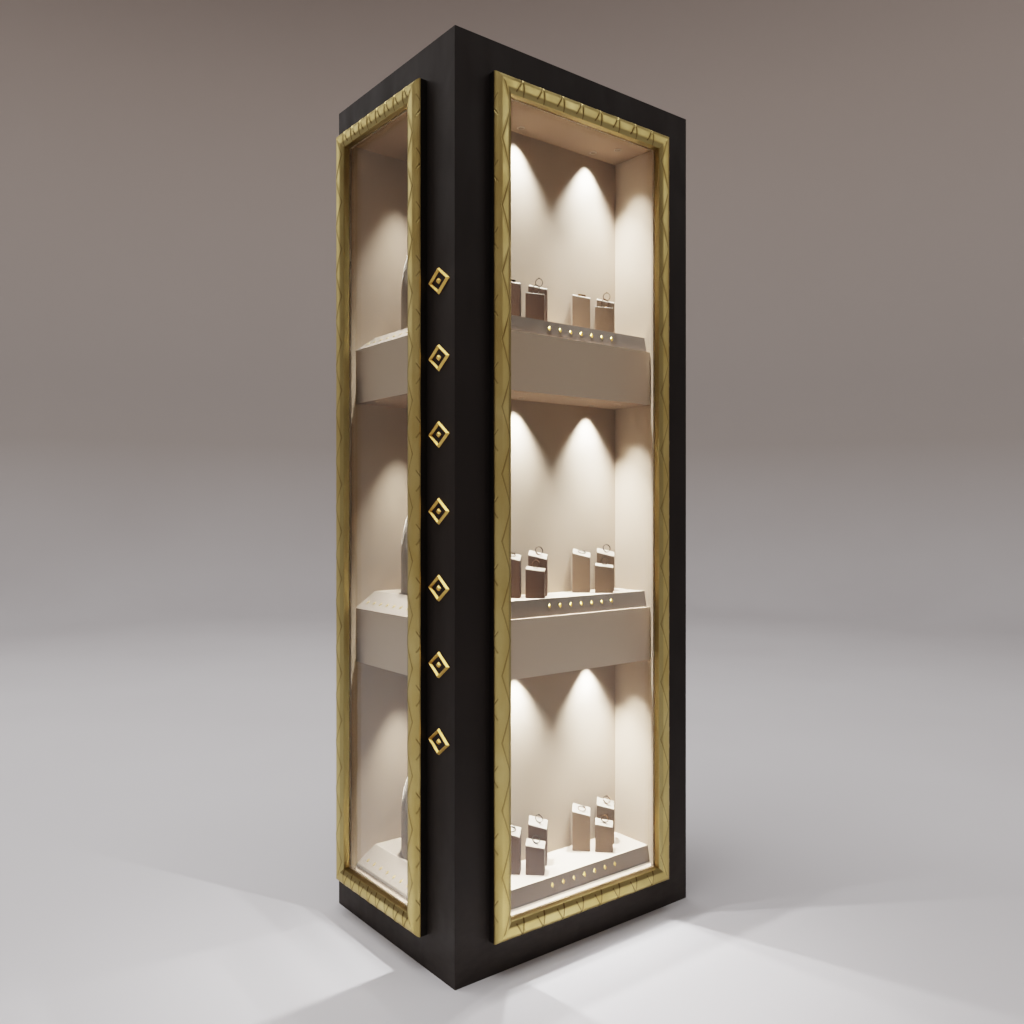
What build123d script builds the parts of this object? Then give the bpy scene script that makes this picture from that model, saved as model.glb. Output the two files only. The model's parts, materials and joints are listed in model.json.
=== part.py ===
"""Glass display showcase: a tall corner-glazed tower for jewellery, with three lit tiers.

Millimetres, +Z up. The origin is the middle of the case's footprint, on the floor.
The front window looks along -Y and the side window looks along -X.
"""
import os

from build123d import *

os.makedirs("parts", exist_ok=True)

# ---- Case ------------------------------------------------------------------------------------
CASE_WIDTH = 718
CASE_DEPTH = 520
CASE_HEIGHT = 2000
PANEL = 18                      # lacquered board
BACK_PANEL = 12
BASE_BOARD = 30
EDGE_BREAK = 1.0                # chamfer on the case's outer corners

LEFT = -CASE_WIDTH / 2
RIGHT = CASE_WIDTH / 2
FRONT = -CASE_DEPTH / 2
REAR = CASE_DEPTH / 2
INNER_LEFT = LEFT + PANEL
INNER_RIGHT = RIGHT - PANEL
INNER_FRONT = FRONT + PANEL
INNER_REAR = REAR - BACK_PANEL
TOP_UNDERSIDE = CASE_HEIGHT - PANEL

# ---- Doors -----------------------------------------------------------------------------------
FRONT_DOOR_WIDTH = 541
SIDE_DOOR_NEAR = -153           # the side door's free edge, towards the front
SIDE_DOOR_FAR = 227             # its hinged edge
SIDE_DOOR_WIDTH = SIDE_DOOR_FAR - SIDE_DOOR_NEAR
DOOR_BOTTOM = 75
DOOR_TOP = 1925
DOOR_HEIGHT = DOOR_TOP - DOOR_BOTTOM
DOOR_GAP = 1.0                  # between the case's face and a closed door's back
WINDOW_OVERLAP = 20             # how far a door covers the case all round its opening
REVEAL = 3                      # lining on the cut edge of each window
CORE_FACE = 16                  # heights above the case's face
TRIM_CREST = 31
CORE_WIDTH = 36                 # widths in from the door's outer edge
TRIM_WIDTH = 40
TRIM_LIP = 9                    # where the trim's inner lip ends, above the glass
GLASS = 5
GASKET = 3
GASKET_SHOW = 1.5               # how far the gasket shows inside the trim
GLASS_FIT = 0.3

# ---- Display interior ------------------------------------------------------------------------
FLOOR_TOP = 94
TIER_PITCH = 653
TIERS = ("bottom", "middle", "top")
FLOORS = [FLOOR_TOP + tier * TIER_PITCH for tier in range(len(TIERS))]
SHELF_HEIGHT = 135
CEILINGS = [floor + TIER_PITCH - SHELF_HEIGHT for floor in FLOORS]
DECK = 18
BATTEN = 20
LINING = 12
BACK_LINING = 8
WALL_RIGHT = 283                # inner faces of the display space
WALL_FRONT_ZONE = -79
WALL_SIDE_ZONE = -120
WALL_REAR = INNER_REAR - BACK_LINING
SHELF_FRONT = -205
SHELF_SIDE = -324
SHELF_DECK = 10
FASCIA = 8
SOFFIT = 6
PLINTH_HEIGHT = 40
PLINTH_FEET = (-205, -194, -194)        # how far forward each plinth's foot stands, bottom first
PLINTH_LEAN = 8
PLINTH_SIDE_RUN = 58

# ---- Lighting --------------------------------------------------------------------------------
SPOT_RADIUS = 8
SPOT_WALL = 1.5
SPOT_HEIGHT = 22
SPOT_FLANGE = 9.5
SPOT_RIM = 1                    # how far the flange hangs below the ceiling
LENS_RECESS = 1
LENS_THICK = 3
SPOT_ROW = (177, -61, -245)
SPOT_FROM_WALL = 27
SPOTS = [(x, WALL_FRONT_ZONE - SPOT_FROM_WALL) for x in SPOT_ROW]
SPOTS += [(WALL_RIGHT - 68, -157), (-200, 166)]

# ---- Ring stands -----------------------------------------------------------------------------
STAND_WIDTH = 45
STAND_DEPTH = 35
STAND_TURN = -44                # degrees about Z, so that the stands face the case's front corner
TALL_STAND = (97.5, -0.233, 0.3)        # front left height, slopes along the width and the depth
SHORT_STAND = (67.5, -0.133, 0.14)
STAND_TOP = 2
STAND_BLANK = 160               # prism height before its top is cut
STANDS = [
    (-126, -111, TALL_STAND),
    (-83, -150, SHORT_STAND),
    (-42, -110, TALL_STAND),
    (104, -107, TALL_STAND),
    (144, -148, SHORT_STAND),
    (187, -109, TALL_STAND),
]
RING_RADIUS = 9.5
RING_WIRE = 1.1
RING_STONE = 2.6
RING_SETTING = 1.2
RING_STONE_HEIGHT = 2.4
RING_SKEW = 0.35                # sideways share in the direction of an upright ring's hole
RING_LIFT = 0.05                # clearance over the stand's top

# ---- Necklace busts --------------------------------------------------------------------------
BUST_X = -192
BUST_Y = 95
BUST_HALF_WIDTH = 88
BUST_HALF_DEPTH = 70
BUST_PROFILE = [(0, 1.0), (60, 0.98), (130, 0.92), (190, 0.78), (232, 0.58), (265, 0.42), (300, 0.38)]

# ---- Studs -----------------------------------------------------------------------------------
STUD_COUNT = 7
STUD_LENGTH = 80
STUD_WIDTH = 58
STUD_BAND = 9
STUD_RISE = 5
STUD_Y = -200
STUD_PITCH = 163
STUD_MIDDLE = 992
SMALL_STUD_LENGTH = 12
SMALL_STUD_WIDTH = 9
SMALL_STUD_RISE = 1.2
FRONT_STUD_START = -42
FRONT_STUD_PITCH = 34
FRONT_STUD_LEVEL = 22
SIDE_STUD_START = 20
SIDE_STUD_PITCH = 32
SIDE_STUD_LEVEL = 15
STUD_TAPER = 30

# ---- Hinges and locks ------------------------------------------------------------------------
HINGE_HEIGHTS = (300, 1000, 1700)
HINGE_LENGTH = 60
KNUCKLE = 4.0
KNUCKLE_LENGTH = 20
KNUCKLE_GAP = 0.4
PIN = 1.75
PIN_CLEARANCE = 0.05
LEAF = 1.5
LEAF_FIT = 0.5                  # room round a leaf in its pocket
DOOR_LEAF_REACH = 11.5          # how far a moving leaf runs up the door's edge
HATCH_LEAF_REACH = 9
HINGE_OUT = 3.5                 # hinge axis above the case's face
HINGE_ASIDE = 4.5               # hinge axis beyond the door's edge
LOCK_RADIUS = 5
LOCK_INSET = 60                 # lock axis in from the door's free edge
LOCK_OUT = 8.5                  # lock axis above the case's face
LOCK_CLEARANCE = 0.05
LOCK_STAND = 1                  # how far the cylinder stands below the door
KEYWAY = (1.2, 5, 6)            # width, length and depth
BOLT_LENGTH = 14
BOLT_WIDTH = 8
BOLT_LOW = 85
BOLT_THICK = 3
BOLT_ROOM = 3                   # room round a bolt in the case's mortise
BOLT_FIT = 0.5                  # room above and below a bolt

# ---- Rear service hatch ----------------------------------------------------------------------
HATCH_LEFT = -60
HATCH_RIGHT = 218
HATCH_BOTTOM = 130
HATCH_TOP = 630
HATCH_THICK = 12
HATCH_HINGE_HEIGHTS = (220, 540)
HATCH_LOCK_X = -20
HATCH_LOCK_Z = 380
HATCH_LOCK_RADIUS = 9
CAM_LENGTH = 32
CAM_WIDTH = 14
CAM_THICK = 3
CAM_BEHIND = 2                  # gap between the cam and the back panel
LOCK_HEAD = 2
LOCK_HEAD_LAP = 2
LOCK_HEAD_GAP = 0.3
LOCK_NECK = 1
COIN_SLOT_HALF = (1, 4.5)
COIN_SLOT_DEPTH = 2
VENT_SLOTS = 6
VENT_PITCH = 14
VENT_LENGTH = 120
VENT_WIDTH = 5
VENT_BELOW_TOP = 80

# ---- Power supply ----------------------------------------------------------------------------
DRIVER_LEFT = 10
DRIVER_RIGHT = 200
DRIVER_BOTTOM = 262
DRIVER_TOP = 322
DRIVER_DEPTH = 34
DRIVER_CORNER = 4
DRIVER_EAR = 16                 # length of each mounting ear
DRIVER_EAR_THICK = 2
DRIVER_EAR_INSET = 15           # ears lower and narrower than the body by this much
DRIVER_SCREW = 2.2
DRIVER_SCREW_IN = 8             # screw hole in from an ear's end
DUCT_LEFT = 240
DUCT_RIGHT = 270
DUCT_DEPTH = 25
DUCT_LID = 6
DUCT_LID_LAP = 1.5
INLET_X = 285
INLET_Z = 200
INLET_HALF_WIDTH = 13
INLET_HALF_HEIGHT = 29
INLET_DEPTH = 30
INLET_PLATE_LAP = 4
INLET_PLATE_RISE = 5            # plate beyond the body at top and bottom
INLET_PLATE = 3
INLET_CORNER = 3
SOCKET_DROP = 13                # socket's middle below the inlet's middle
SOCKET_HALF_WIDTH = 11.5
SOCKET_HALF_HEIGHT = 8
SOCKET_DEPTH = 14
CONTACT_PITCH = 7
CONTACT_HALF_WIDTH = 1
CONTACT_HALF_HEIGHT = 2
CONTACT_LENGTH = 9
OUTER_CONTACT_DROP = 1.5
EARTH_CONTACT_RISE = 2.5
ROCKER_RISE = 15                # rocker's middle above the inlet's middle
ROCKER_TILT = 8                 # degrees each side of the middle
ROCKER_WELL_HALF_WIDTH = 7.3
ROCKER_WELL_HALF_HEIGHT = 11.4
ROCKER_WELL_DEPTH = 12
ROCKER_WIDTH = 14
ROCKER_HALF_LENGTH = 10.4
ROCKER_SHOULDER = 10
ROCKER_ROOT = 6                 # depth of the rocker's narrow root
ROCKER_ROOT_HALF = 3
ROCKER_PROUD = 4.5
ROCKER_DISH = 2.2
ROCKER_OUT = 1                  # rocker's axis beyond the back panel


def save(piece, name):
    """Labels a finished piece and writes it as its own node."""
    piece.part.label = name
    export_step(piece.part, f"parts/{name}.step")


def board(x, y, z):
    """A rectangular board between three pairs of coordinates."""
    with BuildPart() as piece:
        block(x, y, z)
    return piece


def block(x, y, z, mode=Mode.ADD):
    """A box between three pairs of coordinates, in the current part."""
    with Locations(((x[0] + x[1]) / 2, (y[0] + y[1]) / 2, (z[0] + z[1]) / 2)):
        Box(x[1] - x[0], y[1] - y[0], z[1] - z[0], mode=mode)


def group(pieces):
    """Separate solids that share one node."""
    with BuildPart() as gathered:
        for piece in pieces:
            add(piece.part)
    return gathered


def ell(front, side, far_right, far_rear, z):
    """An L-shaped slab round the service space, which fills the case's rear right corner."""
    with BuildPart() as slab:
        with BuildSketch(Plane.XY.offset(z[0])):
            with BuildLine():
                Polyline(
                    (side, front),
                    (far_right, front),
                    (far_right, WALL_FRONT_ZONE),
                    (WALL_SIDE_ZONE, WALL_FRONT_ZONE),
                    (WALL_SIDE_ZONE, far_rear),
                    (side, far_rear),
                    close=True,
                )
            make_face()
        extrude(amount=z[1] - z[0])
    return slab


# ==== Case panels =============================================================================
def pocket_z(height):
    """The bottom and the top of the recess for a hinge leaf at this height."""
    half = HINGE_LENGTH / 2 + LEAF_FIT
    return (height - half, height + half)


def hinge_pockets(x, y):
    """Shallow recesses for the fixed hinge leaves."""
    for height in HINGE_HEIGHTS:
        block(x, y, pocket_z(height), Mode.SUBTRACT)


FRONT_DOOR_EDGE = FRONT_DOOR_WIDTH / 2
FRONT_HINGE = (FRONT_DOOR_EDGE + HINGE_ASIDE, FRONT - HINGE_OUT)
SIDE_HINGE = (LEFT - HINGE_OUT, SIDE_DOOR_FAR + HINGE_ASIDE)
HATCH_HINGE = (HATCH_RIGHT + HINGE_ASIDE, REAR + HINGE_OUT)
FRONT_LOCK = (-FRONT_DOOR_EDGE + LOCK_INSET, FRONT - LOCK_OUT)
SIDE_LOCK = (LEFT - LOCK_OUT, SIDE_DOOR_NEAR + LOCK_INSET)
OPENING_Z = (DOOR_BOTTOM + WINDOW_OVERLAP, DOOR_TOP - WINDOW_OVERLAP)
FRONT_OPENING = (-FRONT_DOOR_EDGE + WINDOW_OVERLAP, FRONT_DOOR_EDGE - WINDOW_OVERLAP)
SIDE_OPENING = (SIDE_DOOR_NEAR + WINDOW_OVERLAP, SIDE_DOOR_FAR - WINDOW_OVERLAP)
BOLT_SLOT_Z = (BOLT_LOW - BOLT_FIT, BOLT_LOW + BOLT_THICK + BOLT_FIT)
POCKET = 1.0                    # depth of a hinge leaf's recess
MORTISE = 7                     # depth of a lock bolt's recess
LEAF_NEAR = HINGE_ASIDE + 0.5   # a fixed leaf, from the hinge axis inwards
LEAF_FAR = 23
POCKET_NEAR = 5                 # a leaf's recess, beyond the hinge axis
POCKET_FAR = LEAF_FAR + LEAF_FIT

with BuildPart() as front_panel:
    block((LEFT, RIGHT), (FRONT, INNER_FRONT), (0, TOP_UNDERSIDE))
    chamfer(
        front_panel.edges().filter_by(Axis.Z).group_by(Axis.Y)[0],
        length=EDGE_BREAK,
    )
    block(FRONT_OPENING, (FRONT - 1, INNER_FRONT + 1), OPENING_Z, Mode.SUBTRACT)
    hinge_pockets((FRONT_HINGE[0] - POCKET_FAR, FRONT_HINGE[0] + POCKET_NEAR), (FRONT - 1, FRONT + POCKET))
    block(
        (FRONT_LOCK[0] - BOLT_LENGTH - BOLT_ROOM, FRONT_LOCK[0] + BOLT_WIDTH / 2 + BOLT_ROOM),
        (FRONT - 1, FRONT + MORTISE),
        BOLT_SLOT_Z,
        Mode.SUBTRACT,
    )
save(front_panel, "front_panel")

with BuildPart() as left_panel:
    block((LEFT, INNER_LEFT), (INNER_FRONT, REAR), (0, TOP_UNDERSIDE))
    block((LEFT - 1, INNER_LEFT + 1), SIDE_OPENING, OPENING_Z, Mode.SUBTRACT)
    hinge_pockets((LEFT - 1, LEFT + POCKET), (SIDE_HINGE[1] - POCKET_FAR, SIDE_HINGE[1] + POCKET_NEAR))
    block(
        (LEFT - 1, LEFT + MORTISE),
        (SIDE_LOCK[1] - BOLT_LENGTH - BOLT_ROOM, SIDE_LOCK[1] + BOLT_WIDTH / 2 + BOLT_ROOM),
        BOLT_SLOT_Z,
        Mode.SUBTRACT,
    )
save(left_panel, "left_panel")


def narrowed(span):
    """A pair of coordinates drawn in by the reveal at each end."""
    return (span[0] + REVEAL, span[1] - REVEAL)


with BuildPart() as front_reveal:
    block(FRONT_OPENING, (FRONT, INNER_FRONT), OPENING_Z)
    block(narrowed(FRONT_OPENING), (FRONT, INNER_FRONT), narrowed(OPENING_Z), Mode.SUBTRACT)
with BuildPart() as side_reveal:
    block((LEFT, INNER_LEFT), SIDE_OPENING, OPENING_Z)
    block((LEFT, INNER_LEFT), narrowed(SIDE_OPENING), narrowed(OPENING_Z), Mode.SUBTRACT)
save(group([front_reveal, side_reveal]), "window_reveals")

save(board((INNER_RIGHT, RIGHT), (INNER_FRONT, REAR), (0, TOP_UNDERSIDE)), "right_panel")

with BuildPart() as top_panel:
    block((LEFT, RIGHT), (FRONT, REAR), (TOP_UNDERSIDE, CASE_HEIGHT))
    chamfer(top_panel.edges().group_by(Axis.Z)[-1], length=EDGE_BREAK)
    chamfer(
        top_panel.edges().filter_by(Axis.Z).group_by(Axis.Y)[0],
        length=EDGE_BREAK,
    )
save(top_panel, "top_panel")

save(board((INNER_LEFT, INNER_RIGHT), (INNER_FRONT, INNER_REAR), (0, BASE_BOARD)), "base_board")

HATCH_OPENING_X = (HATCH_LEFT + WINDOW_OVERLAP, HATCH_RIGHT - WINDOW_OVERLAP)
HATCH_OPENING_Z = (HATCH_BOTTOM + WINDOW_OVERLAP, HATCH_TOP - WINDOW_OVERLAP)
INLET_BODY_X = (INLET_X - INLET_HALF_WIDTH, INLET_X + INLET_HALF_WIDTH)
INLET_BODY_Z = (INLET_Z - INLET_HALF_HEIGHT, INLET_Z + INLET_HALF_HEIGHT)

with BuildPart() as back_panel:
    block((INNER_LEFT, INNER_RIGHT), (INNER_REAR, REAR), (0, TOP_UNDERSIDE))
    block(HATCH_OPENING_X, (INNER_REAR - 1, REAR + 1), HATCH_OPENING_Z, Mode.SUBTRACT)
    block(INLET_BODY_X, (INNER_REAR - 1, REAR + 1), INLET_BODY_Z, Mode.SUBTRACT)
    for height in HATCH_HINGE_HEIGHTS:
        block(
            (HATCH_HINGE[0] - POCKET_FAR, HATCH_HINGE[0] + POCKET_NEAR),
            (REAR - POCKET, REAR + 1),
            pocket_z(height),
            Mode.SUBTRACT,
        )
save(back_panel, "back_panel")

# ==== Interior fit-out ========================================================================
save(
    board((INNER_LEFT, INNER_RIGHT), (INNER_FRONT, INNER_REAR), (FLOOR_TOP - DECK, FLOOR_TOP)),
    "floor_deck",
)

with BuildPart() as ceiling_panel:
    block((INNER_LEFT, INNER_RIGHT), (INNER_FRONT, INNER_REAR), (CEILINGS[-1], CEILINGS[-1] + LINING))
    with BuildSketch(Plane.XY.offset(CEILINGS[-1])):
        with Locations(*SPOTS):
            Circle(SPOT_RADIUS)
    extrude(amount=LINING, mode=Mode.SUBTRACT)
save(ceiling_panel, "ceiling_panel")

WALL_Z = (FLOOR_TOP, CEILINGS[-1])
save(board((WALL_RIGHT, WALL_RIGHT + LINING), (INNER_FRONT, WALL_FRONT_ZONE), WALL_Z), "right_lining")
save(board((INNER_LEFT, WALL_SIDE_ZONE), (WALL_REAR, INNER_REAR), WALL_Z), "rear_lining")
save(
    board((WALL_SIDE_ZONE, INNER_RIGHT), (WALL_FRONT_ZONE, WALL_FRONT_ZONE + LINING), WALL_Z),
    "front_partition",
)
save(
    board((WALL_SIDE_ZONE, WALL_SIDE_ZONE + LINING), (WALL_FRONT_ZONE + LINING, INNER_REAR), WALL_Z),
    "side_partition",
)

battens = []
for y in (INNER_FRONT, WALL_FRONT_ZONE - BATTEN):
    battens.append(board((WALL_RIGHT + LINING, INNER_RIGHT), (y, y + BATTEN), WALL_Z))
for y in (INNER_FRONT, 0, INNER_REAR - BATTEN):
    battens.append(board((INNER_LEFT, INNER_RIGHT), (y, y + BATTEN), (BASE_BOARD, FLOOR_TOP - DECK)))
for x in (INNER_LEFT, -BATTEN / 2, INNER_RIGHT - BATTEN):
    battens.append(board((x, x + BATTEN), (INNER_FRONT, INNER_REAR), (CEILINGS[-1] + LINING, TOP_UNDERSIDE)))
save(group(battens), "frame_battens")

for tier, name in ((0, "lower_shelf"), (1, "upper_shelf")):
    top = FLOORS[tier + 1]
    low = CEILINGS[tier]
    save(ell(SHELF_FRONT, SHELF_SIDE, WALL_RIGHT, WALL_REAR, (top - SHELF_DECK, top)), f"{name}_deck")
    with BuildPart() as fascia:
        block((SHELF_SIDE, WALL_RIGHT), (SHELF_FRONT, SHELF_FRONT + FASCIA), (low, top - SHELF_DECK))
        block((SHELF_SIDE, SHELF_SIDE + FASCIA), (SHELF_FRONT, WALL_REAR), (low, top - SHELF_DECK))
    save(fascia, f"{name}_fascia")
    with BuildPart() as soffit:
        add(ell(SHELF_FRONT + FASCIA, SHELF_SIDE + FASCIA, WALL_RIGHT, WALL_REAR, (low, low + SOFFIT)).part)
        with BuildSketch(Plane.XY.offset(low)):
            with Locations(*SPOTS):
                Circle(SPOT_RADIUS)
        extrude(amount=SOFFIT, mode=Mode.SUBTRACT)
    save(soffit, f"{name}_soffit")

for tier, floor in enumerate(FLOORS):
    plinth_top = floor + PLINTH_HEIGHT
    foot = PLINTH_FEET[tier]
    with BuildPart() as plinth:
        add(ell(foot, SHELF_SIDE, WALL_RIGHT, WALL_REAR, (floor, plinth_top)).part)
        with BuildSketch(Plane.YZ.offset(SHELF_SIDE)):
            with BuildLine():
                Polyline(
                    (foot, floor),
                    (foot + PLINTH_LEAN, plinth_top),
                    (foot, plinth_top),
                    close=True,
                )
            make_face()
        extrude(amount=WALL_RIGHT - SHELF_SIDE, mode=Mode.SUBTRACT)
        with BuildSketch(Plane.XZ.offset(-WALL_REAR)):
            with BuildLine():
                Polyline(
                    (SHELF_SIDE, floor),
                    (SHELF_SIDE + PLINTH_SIDE_RUN, plinth_top),
                    (SHELF_SIDE, plinth_top),
                    close=True,
                )
            make_face()
        extrude(amount=WALL_REAR - foot, mode=Mode.SUBTRACT)
    save(plinth, f"{TIERS[tier]}_plinth")

# ==== Lighting and power ======================================================================
housings = []
lenses = []
for ceiling in CEILINGS:
    for x, y in SPOTS:
        with BuildPart() as housing:
            with BuildSketch(Plane.XY.offset(ceiling)):
                with Locations((x, y)):
                    Circle(SPOT_RADIUS)
            extrude(amount=SPOT_HEIGHT)
            with BuildSketch(Plane.XY.offset(ceiling)):
                with Locations((x, y)):
                    Circle(SPOT_FLANGE)
            extrude(amount=-SPOT_RIM)
            with BuildSketch(Plane.XY.offset(ceiling - SPOT_RIM)):
                with Locations((x, y)):
                    Circle(SPOT_RADIUS - SPOT_WALL)
            extrude(amount=SPOT_HEIGHT - SPOT_RIM, mode=Mode.SUBTRACT)
        housings.append(housing)
        with BuildPart() as lens:
            with BuildSketch(Plane.XY.offset(ceiling + LENS_RECESS)):
                with Locations((x, y)):
                    Circle(SPOT_RADIUS - SPOT_WALL)
            extrude(amount=LENS_THICK)
        lenses.append(lens)
save(group(housings), "spot_housings")
save(group(lenses), "spot_lenses")

PARTITION_REAR = WALL_FRONT_ZONE + LINING
EAR_X = (DRIVER_LEFT - DRIVER_EAR, DRIVER_RIGHT + DRIVER_EAR)
EAR_Z = (DRIVER_BOTTOM + DRIVER_EAR_INSET, DRIVER_TOP - DRIVER_EAR_INSET)
with BuildPart() as led_driver:
    block(
        (DRIVER_LEFT, DRIVER_RIGHT),
        (PARTITION_REAR, PARTITION_REAR + DRIVER_DEPTH),
        (DRIVER_BOTTOM, DRIVER_TOP),
    )
    fillet(led_driver.edges().filter_by(Axis.Z).group_by(Axis.Y)[-1], radius=DRIVER_CORNER)
    block(EAR_X, (PARTITION_REAR, PARTITION_REAR + DRIVER_EAR_THICK), EAR_Z)
    ear_middle = ((EAR_X[0] + EAR_X[1]) / 2, PARTITION_REAR + DRIVER_EAR_THICK, (EAR_Z[0] + EAR_Z[1]) / 2)
    screw_aside = (EAR_X[1] - EAR_X[0]) / 2 - DRIVER_SCREW_IN
    with Locations(Plane(ear_middle, x_dir=(1, 0, 0), z_dir=(0, 1, 0))):
        with Locations((-screw_aside, 0), (screw_aside, 0)):
            Hole(DRIVER_SCREW)
save(led_driver, "led_driver")

with BuildPart() as wiring_duct:
    block((DUCT_LEFT, DUCT_RIGHT), (PARTITION_REAR, PARTITION_REAR + DUCT_DEPTH), WALL_Z)
    block(
        (DUCT_LEFT - DUCT_LID_LAP, DUCT_RIGHT + DUCT_LID_LAP),
        (PARTITION_REAR + DUCT_DEPTH - DUCT_LID, PARTITION_REAR + DUCT_DEPTH + DUCT_LID_LAP),
        WALL_Z,
    )
save(wiring_duct, "wiring_duct")

SOCKET_Z = INLET_Z - SOCKET_DROP
SOCKET_BACK = REAR - SOCKET_DEPTH
ROCKER_Z = INLET_Z + ROCKER_RISE
ROCKER_Y = REAR + ROCKER_OUT
PLATE_FRONT = REAR + INLET_PLATE
with BuildPart() as power_inlet:
    block(INLET_BODY_X, (REAR - INLET_DEPTH, REAR), INLET_BODY_Z)
    block(
        (INLET_BODY_X[0] - INLET_PLATE_LAP, INLET_BODY_X[1] + INLET_PLATE_LAP),
        (REAR, PLATE_FRONT),
        (INLET_BODY_Z[0] - INLET_PLATE_RISE, INLET_BODY_Z[1] + INLET_PLATE_RISE),
    )
    fillet(power_inlet.edges().filter_by(Axis.Y).group_by(Axis.X)[0], radius=INLET_CORNER)
    fillet(power_inlet.edges().filter_by(Axis.Y).group_by(Axis.X)[-1], radius=INLET_CORNER)
    block(
        (INLET_X - SOCKET_HALF_WIDTH, INLET_X + SOCKET_HALF_WIDTH),
        (SOCKET_BACK, PLATE_FRONT + 1),
        (SOCKET_Z - SOCKET_HALF_HEIGHT, SOCKET_Z + SOCKET_HALF_HEIGHT),
        Mode.SUBTRACT,
    )
    for place, rise in ((-1, -OUTER_CONTACT_DROP), (0, EARTH_CONTACT_RISE), (1, -OUTER_CONTACT_DROP)):
        contact_x = INLET_X + place * CONTACT_PITCH
        contact_z = SOCKET_Z + rise
        block(
            (contact_x - CONTACT_HALF_WIDTH, contact_x + CONTACT_HALF_WIDTH),
            (SOCKET_BACK, SOCKET_BACK + CONTACT_LENGTH),
            (contact_z - CONTACT_HALF_HEIGHT, contact_z + CONTACT_HALF_HEIGHT),
        )
    block(
        (INLET_X - ROCKER_WELL_HALF_WIDTH, INLET_X + ROCKER_WELL_HALF_WIDTH),
        (REAR - ROCKER_WELL_DEPTH, PLATE_FRONT + 1),
        (ROCKER_Z - ROCKER_WELL_HALF_HEIGHT, ROCKER_Z + ROCKER_WELL_HALF_HEIGHT),
        Mode.SUBTRACT,
    )
save(power_inlet, "power_inlet")

with BuildPart() as rocker_switch:
    with BuildSketch(Plane.YZ.offset(INLET_X - ROCKER_WIDTH / 2)):
        with BuildLine():
            Polyline(
                (-ROCKER_ROOT, ROCKER_ROOT_HALF),
                (-ROCKER_ROOT, -ROCKER_ROOT_HALF),
                (0, -ROCKER_SHOULDER),
                (ROCKER_PROUD, -ROCKER_HALF_LENGTH),
            )
            ThreePointArc(
                (ROCKER_PROUD, -ROCKER_HALF_LENGTH),
                (ROCKER_DISH, 0),
                (ROCKER_PROUD, ROCKER_HALF_LENGTH),
            )
            Polyline(
                (ROCKER_PROUD, ROCKER_HALF_LENGTH),
                (0, ROCKER_SHOULDER),
                (-ROCKER_ROOT, ROCKER_ROOT_HALF),
            )
        make_face()
    extrude(amount=ROCKER_WIDTH)
rocker_placed = rocker_switch.part.rotate(Axis.X, ROCKER_TILT).translate((0, ROCKER_Y, ROCKER_Z))
rocker_placed.label = "rocker_switch"
export_step(rocker_placed, "parts/rocker_switch.step")


# ==== Display props ===========================================================================
def stand_plane(x, y, floor):
    """A stand's foot: its origin is the stand's front left corner, facing the case's corner."""
    return Plane(origin=(x, y, floor), z_dir=(0, 0, 1)).rotated((0, 0, STAND_TURN))


def top_plane(foot, shape, lift=0.0):
    """The plane of a stand's slanting top, raised along its own normal by lift."""
    height, slope_width, slope_depth = shape
    normal = Vector(-slope_width, -slope_depth, 1).normalized()
    place = foot.from_local_coords(Vector(0, 0, height) + normal * lift)
    direction = foot.from_local_coords(normal) - foot.origin
    return Plane(origin=place, z_dir=direction)


def stand_prism(foot, low_cut, high_cut):
    """The part of a stand's upright prism between two slanting planes, or below the higher one."""
    with BuildPart() as prism:
        with BuildSketch(foot):
            Rectangle(STAND_WIDTH, STAND_DEPTH, align=(Align.MIN, Align.MIN))
        extrude(amount=STAND_BLANK)
        split(bisect_by=high_cut, keep=Keep.BOTTOM)
        if low_cut is not None:
            split(bisect_by=low_cut, keep=Keep.TOP)
    return prism


def display_ring(foot, shape, lying):
    """A finger ring with one stone, standing across its stand's top or lying on it."""
    height, slope_width, slope_depth = shape
    along = STAND_WIDTH / 2
    back = STAND_DEPTH / 2
    level = height + slope_width * along + slope_depth * back
    normal = Vector(-slope_width, -slope_depth, 1).normalized()
    rise = RING_STONE if lying else RING_RADIUS + RING_WIRE
    centre = foot.from_local_coords(Vector(along, back, level) + normal * (STAND_TOP + RING_LIFT + rise))
    up = foot.from_local_coords(normal) - foot.origin
    across = (foot.from_local_coords(Vector(RING_SKEW, 1, 0)) - foot.origin).normalized()
    hole = up if lying else (across - up * across.dot(up)).normalized()
    radial = up if not lying else (across - up * across.dot(up)).normalized()
    with BuildPart() as ring:
        with BuildSketch(Plane(origin=centre, x_dir=radial, z_dir=hole.cross(radial))):
            with Locations((RING_RADIUS, 0)):
                Circle(RING_WIRE)
        revolve(axis=Axis(centre, hole))
        with Locations(Plane(origin=centre + radial * (RING_RADIUS + RING_WIRE), x_dir=hole, z_dir=radial)):
            Cone(RING_SETTING, RING_STONE, RING_STONE_HEIGHT)
    return ring


blocks = []
tops = []
rings = []
for floor in FLOORS:
    for number, (x, y, shape) in enumerate(STANDS):
        foot = stand_plane(x, y, floor + PLINTH_HEIGHT)
        cut = top_plane(foot, shape)
        blocks.append(stand_prism(foot, None, cut))
        tops.append(stand_prism(foot, cut, top_plane(foot, shape, STAND_TOP)))
        rings.append(display_ring(foot, shape, lying=number % 3 == 0))
save(group(blocks), "ring_stands")
save(group(tops), "ring_stand_tops")
save(group(rings), "display_rings")

for tier, floor in enumerate(FLOORS):
    with BuildPart() as bust:
        for height, scale in BUST_PROFILE:
            with BuildSketch(Plane((BUST_X, BUST_Y, floor + PLINTH_HEIGHT + height))):
                Ellipse(BUST_HALF_DEPTH * scale, BUST_HALF_WIDTH * scale)
        loft()
    save(bust, f"{TIERS[tier]}_necklace_bust")


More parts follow.
